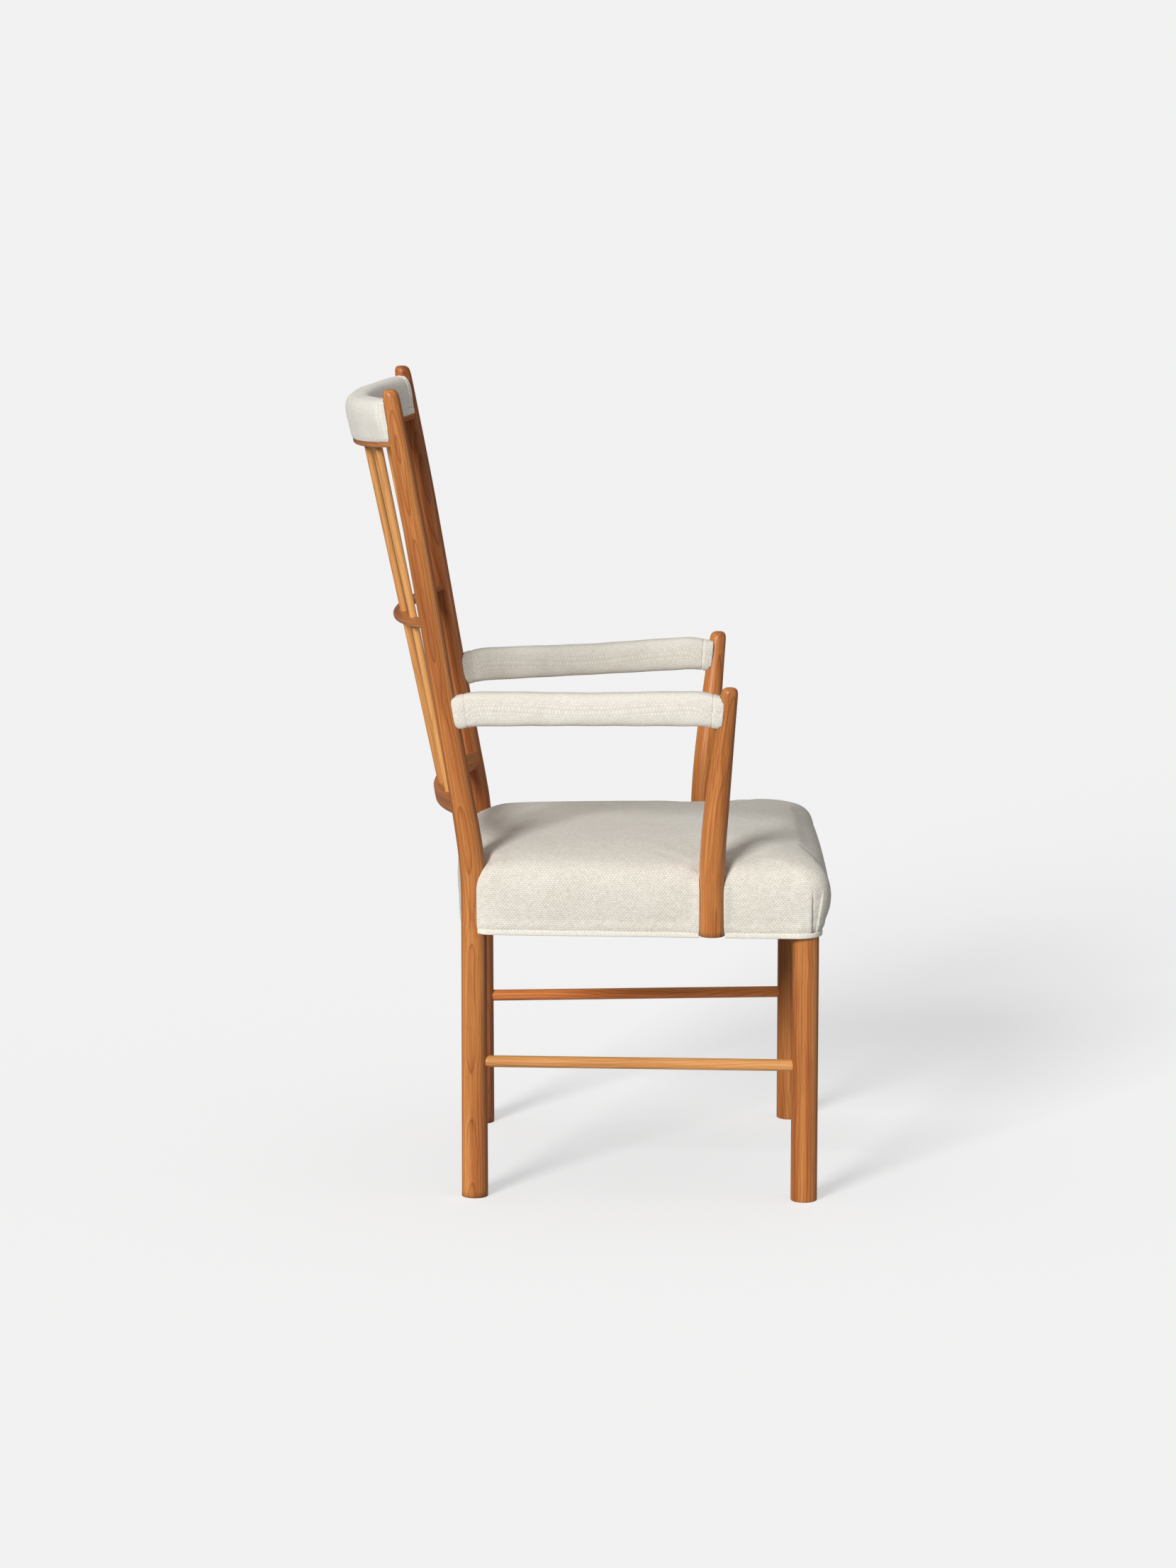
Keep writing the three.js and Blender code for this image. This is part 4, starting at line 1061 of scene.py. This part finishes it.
def frame_room():
    """The room that the hidden frame, its webbing and the legs take up inside the cover."""
    back_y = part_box("seat_rail_back")[1][1] + ROOM_GAP
    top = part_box("webbing_cross_1")[1][2] + ROOM_GAP
    _, leg_x, leg_y, leg_r = posts["front_leg_left"][-1]
    _, post_x, post_y, post_r = posts["rear_post_left"][0]
    reach = leg_r + ROOM_GAP
    half = [(0, leg_y - reach)]
    for angle in np.linspace(-math.pi / 2, 0, 9):
        half.append((leg_x + reach * math.cos(angle), leg_y + reach * math.sin(angle)))
    # At the back the room's edge runs through the posts, so that no sliver is left beside them.
    half.append((post_x + post_r - 4 * MM, post_y - post_r + 3 * MM))
    half += [(post_x, post_y), (post_x - post_r - 4 * MM, back_y)]
    plan = half + [(-x, y) for x, y in half[:0:-1]]
    rings = [[(x, y, z) for x, y in plan] for z in (0.360, top)]
    return new_object("frame_room", *loft(rings))


add_seat()

# ---- hem

RIB = 2.7 * MM             # spacing of the ribs that the stitching draws up
HEM_DEPTH = 4.6 * MM
HEM_SOFT = 1.9 * MM
HEM_GAP = 1.0 * MM         # between the hem and a post
LEAST_RUN = 20             # a run of fewer points than this is left out


def hem_runs():
    """The hem's path, parted where posts stand in it: lists of plan points."""
    outline = resample(seat_outline(0.0, 0.0, 0.0, 1200), 2400)
    blocked = np.zeros(len(outline), bool)
    level = np.column_stack([outline, np.full(len(outline), 0.5 * (HEM_LOW + HEM_HIGH))])
    for post in SEAT_POSTS:
        blocked |= near_post(level, post) < HEM_GAP
    start = np.where(blocked)[0][0]
    outline, blocked = np.roll(outline, -start, axis=0), np.roll(blocked, -start)
    changes = np.where(np.diff(blocked.astype(int)))[0] + 1
    pieces = np.split(np.arange(len(outline)), changes)
    return [outline[piece] for piece in pieces if not blocked[piece[0]] and len(piece) > LEAST_RUN]


def add_hems():
    mid = 0.5 * (HEM_LOW + HEM_HIGH)
    section = rounded_section(HEM_DEPTH, HEM_HIGH - HEM_LOW, HEM_SOFT, 4)[::-1]
    for run in hem_runs():
        tangent = np.gradient(run, axis=0)
        tangent /= np.linalg.norm(tangent, axis=1)[:, None]
        out = np.column_stack([tangent[:, 1], -tangent[:, 0]])
        length = np.concatenate([[0], np.cumsum(np.linalg.norm(np.diff(run, axis=0), axis=1))])
        rings, cloth = [], []
        for point, normal, at in zip(run, out, length):
            rib = 0.28 * MM * math.cos(2 * math.pi * at / RIB)
            across = section[:, 0] - HEM_SOFT + np.where(section[:, 0] > 0, rib, 0)
            ring = point + np.outer(across, normal)
            rings.append(np.column_stack([ring, mid + section[:, 1]]))
            # The weave is turned and drawn together, so that its rows run up the hem as ribs.
            cloth.append(flat_place(section[:, 1] + section[:, 0], at * THREAD_V / RIB))
        middle = run.mean(0)
        if abs(middle[0]) > 0.1:
            where = "left" if middle[0] > 0 else "right"
        else:
            where = "front" if middle[1] < 0 else "rear"
        place = with_ends(np.array(cloth))
        piece = make_mesh(f"stitched_hem_{where}", *loft(rings), linen_painted_light, "linen", cloth=place)
        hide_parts(f"seat_hem_{where}")


add_hems()

# ---- carried-over CAD nodes

FINISHES = {"inner_wood": inner_wood, "wood": inner_wood, "jute": jute, "dust_cloth": dust_cloth,
            "steel": steel}
slot_of = {entry["node"]: entry["material_slot"] for entry in frame["record"]["subparts"]}
for name, node in nodes.items():
    finish = FINISHES.get(slot_of[name])
    if finish:
        node.data.materials.clear()
        node.data.materials.append(finish)

# ---- floor, light and camera


FLOOR_HALF = 3000.0        # the floor reaches the horizon
FLOOR_GREY, FLOOR_GLOW = 0.56, 0.496


def add_floor():
    """A pale floor that takes shadows and is lifted to the backdrop's tone."""
    corners = [(x * FLOOR_HALF, y * FLOOR_HALF, 0) for x, y in ((-1, -1), (1, -1), (1, 1), (-1, 1))]
    floor = new_object("floor", corners, [(0, 1, 2, 3)])
    material, kit, shader = new_material("pale_floor")
    kit.dress(shader, {"Base Color": (FLOOR_GREY, FLOOR_GREY, FLOOR_GREY, 1), "Roughness": 0.9,
                       "Specular IOR Level": 0.0, "Emission Color": (1, 1, 1, 1),
                       "Emission Strength": FLOOR_GLOW})
    floor.data.materials.append(material)
    floor.visible_diffuse = False
    floor.visible_glossy = False


# The way the key's light travels, and the way from the chair to the pale screen. Then the room's
# strength all round, and what the ceiling, the floor below and the screen add.
KEY_TOWARD = (1.775, -1.0, -0.865)
KEY_POWER, KEY_SPREAD = 2.85, 18
SCREEN_FROM = (-0.25, -0.96, 0.05)
ROOM, CEILING, BELOW = 0.11, 0.33, 0.36


def add_light():
    """One broad soft key, and a dim room with a pale ceiling and a pale screen before the chair."""
    world = bpy.data.worlds.new("studio")
    bpy.context.scene.world = world
    world.use_nodes = True
    kit = Nodes(world.node_tree)
    way = kit.add("TexCoord").outputs["Generated"]
    up = kit.add("SeparateXYZ", {"Vector": way}).outputs[2]
    above = kit.math("MAXIMUM", up, 0.0)
    below = kit.math("MAXIMUM", kit.times(up, -1.0), 0.0)
    screen = kit.add("VectorMath", {0: way, 1: SCREEN_FROM}, operation="DOT_PRODUCT").outputs["Value"]
    screen = kit.ramp(screen, (0.91, 0.0), (0.98, 1.0))
    level = kit.plus(ROOM, kit.times(above, CEILING))
    level = kit.plus(level, kit.times(below, BELOW))
    level = kit.plus(level, screen)
    background = world.node_tree.nodes["Background"]
    kit.put(background.inputs["Strength"], level)
    background.inputs["Color"].default_value = (1, 1, 1, 1)
    key = bpy.data.lights.new("key", "SUN")
    key.energy = KEY_POWER
    key.angle = math.radians(KEY_SPREAD)
    lamp = bpy.data.objects.new("key", key)
    bpy.context.scene.collection.objects.link(lamp)
    lamp.rotation_euler = Vector(KEY_TOWARD).to_track_quat("-Z", "Y").to_euler()


# Distance and height from the chair's middle on the floor, in metres; degrees down; millimetres.
CAMERA = dict(distance=6.49195, side=0.0024, height=1.65842, pitch=9.7035, lens=105.75)


def add_camera():
    data = bpy.data.cameras.new("camera")
    data.lens = CAMERA["lens"]
    data.sensor_width = 36
    data.clip_end = 8000
    camera = bpy.data.objects.new("camera", data)
    bpy.context.scene.collection.objects.link(camera)
    camera.location = (-CAMERA["distance"], CAMERA["side"], CAMERA["height"])
    camera.rotation_euler = (math.radians(90 - CAMERA["pitch"]), 0, math.radians(-90))
    bpy.context.scene.camera = camera


add_floor()
add_light()
add_camera()
bpy.context.scene.view_settings.view_transform = "Standard"
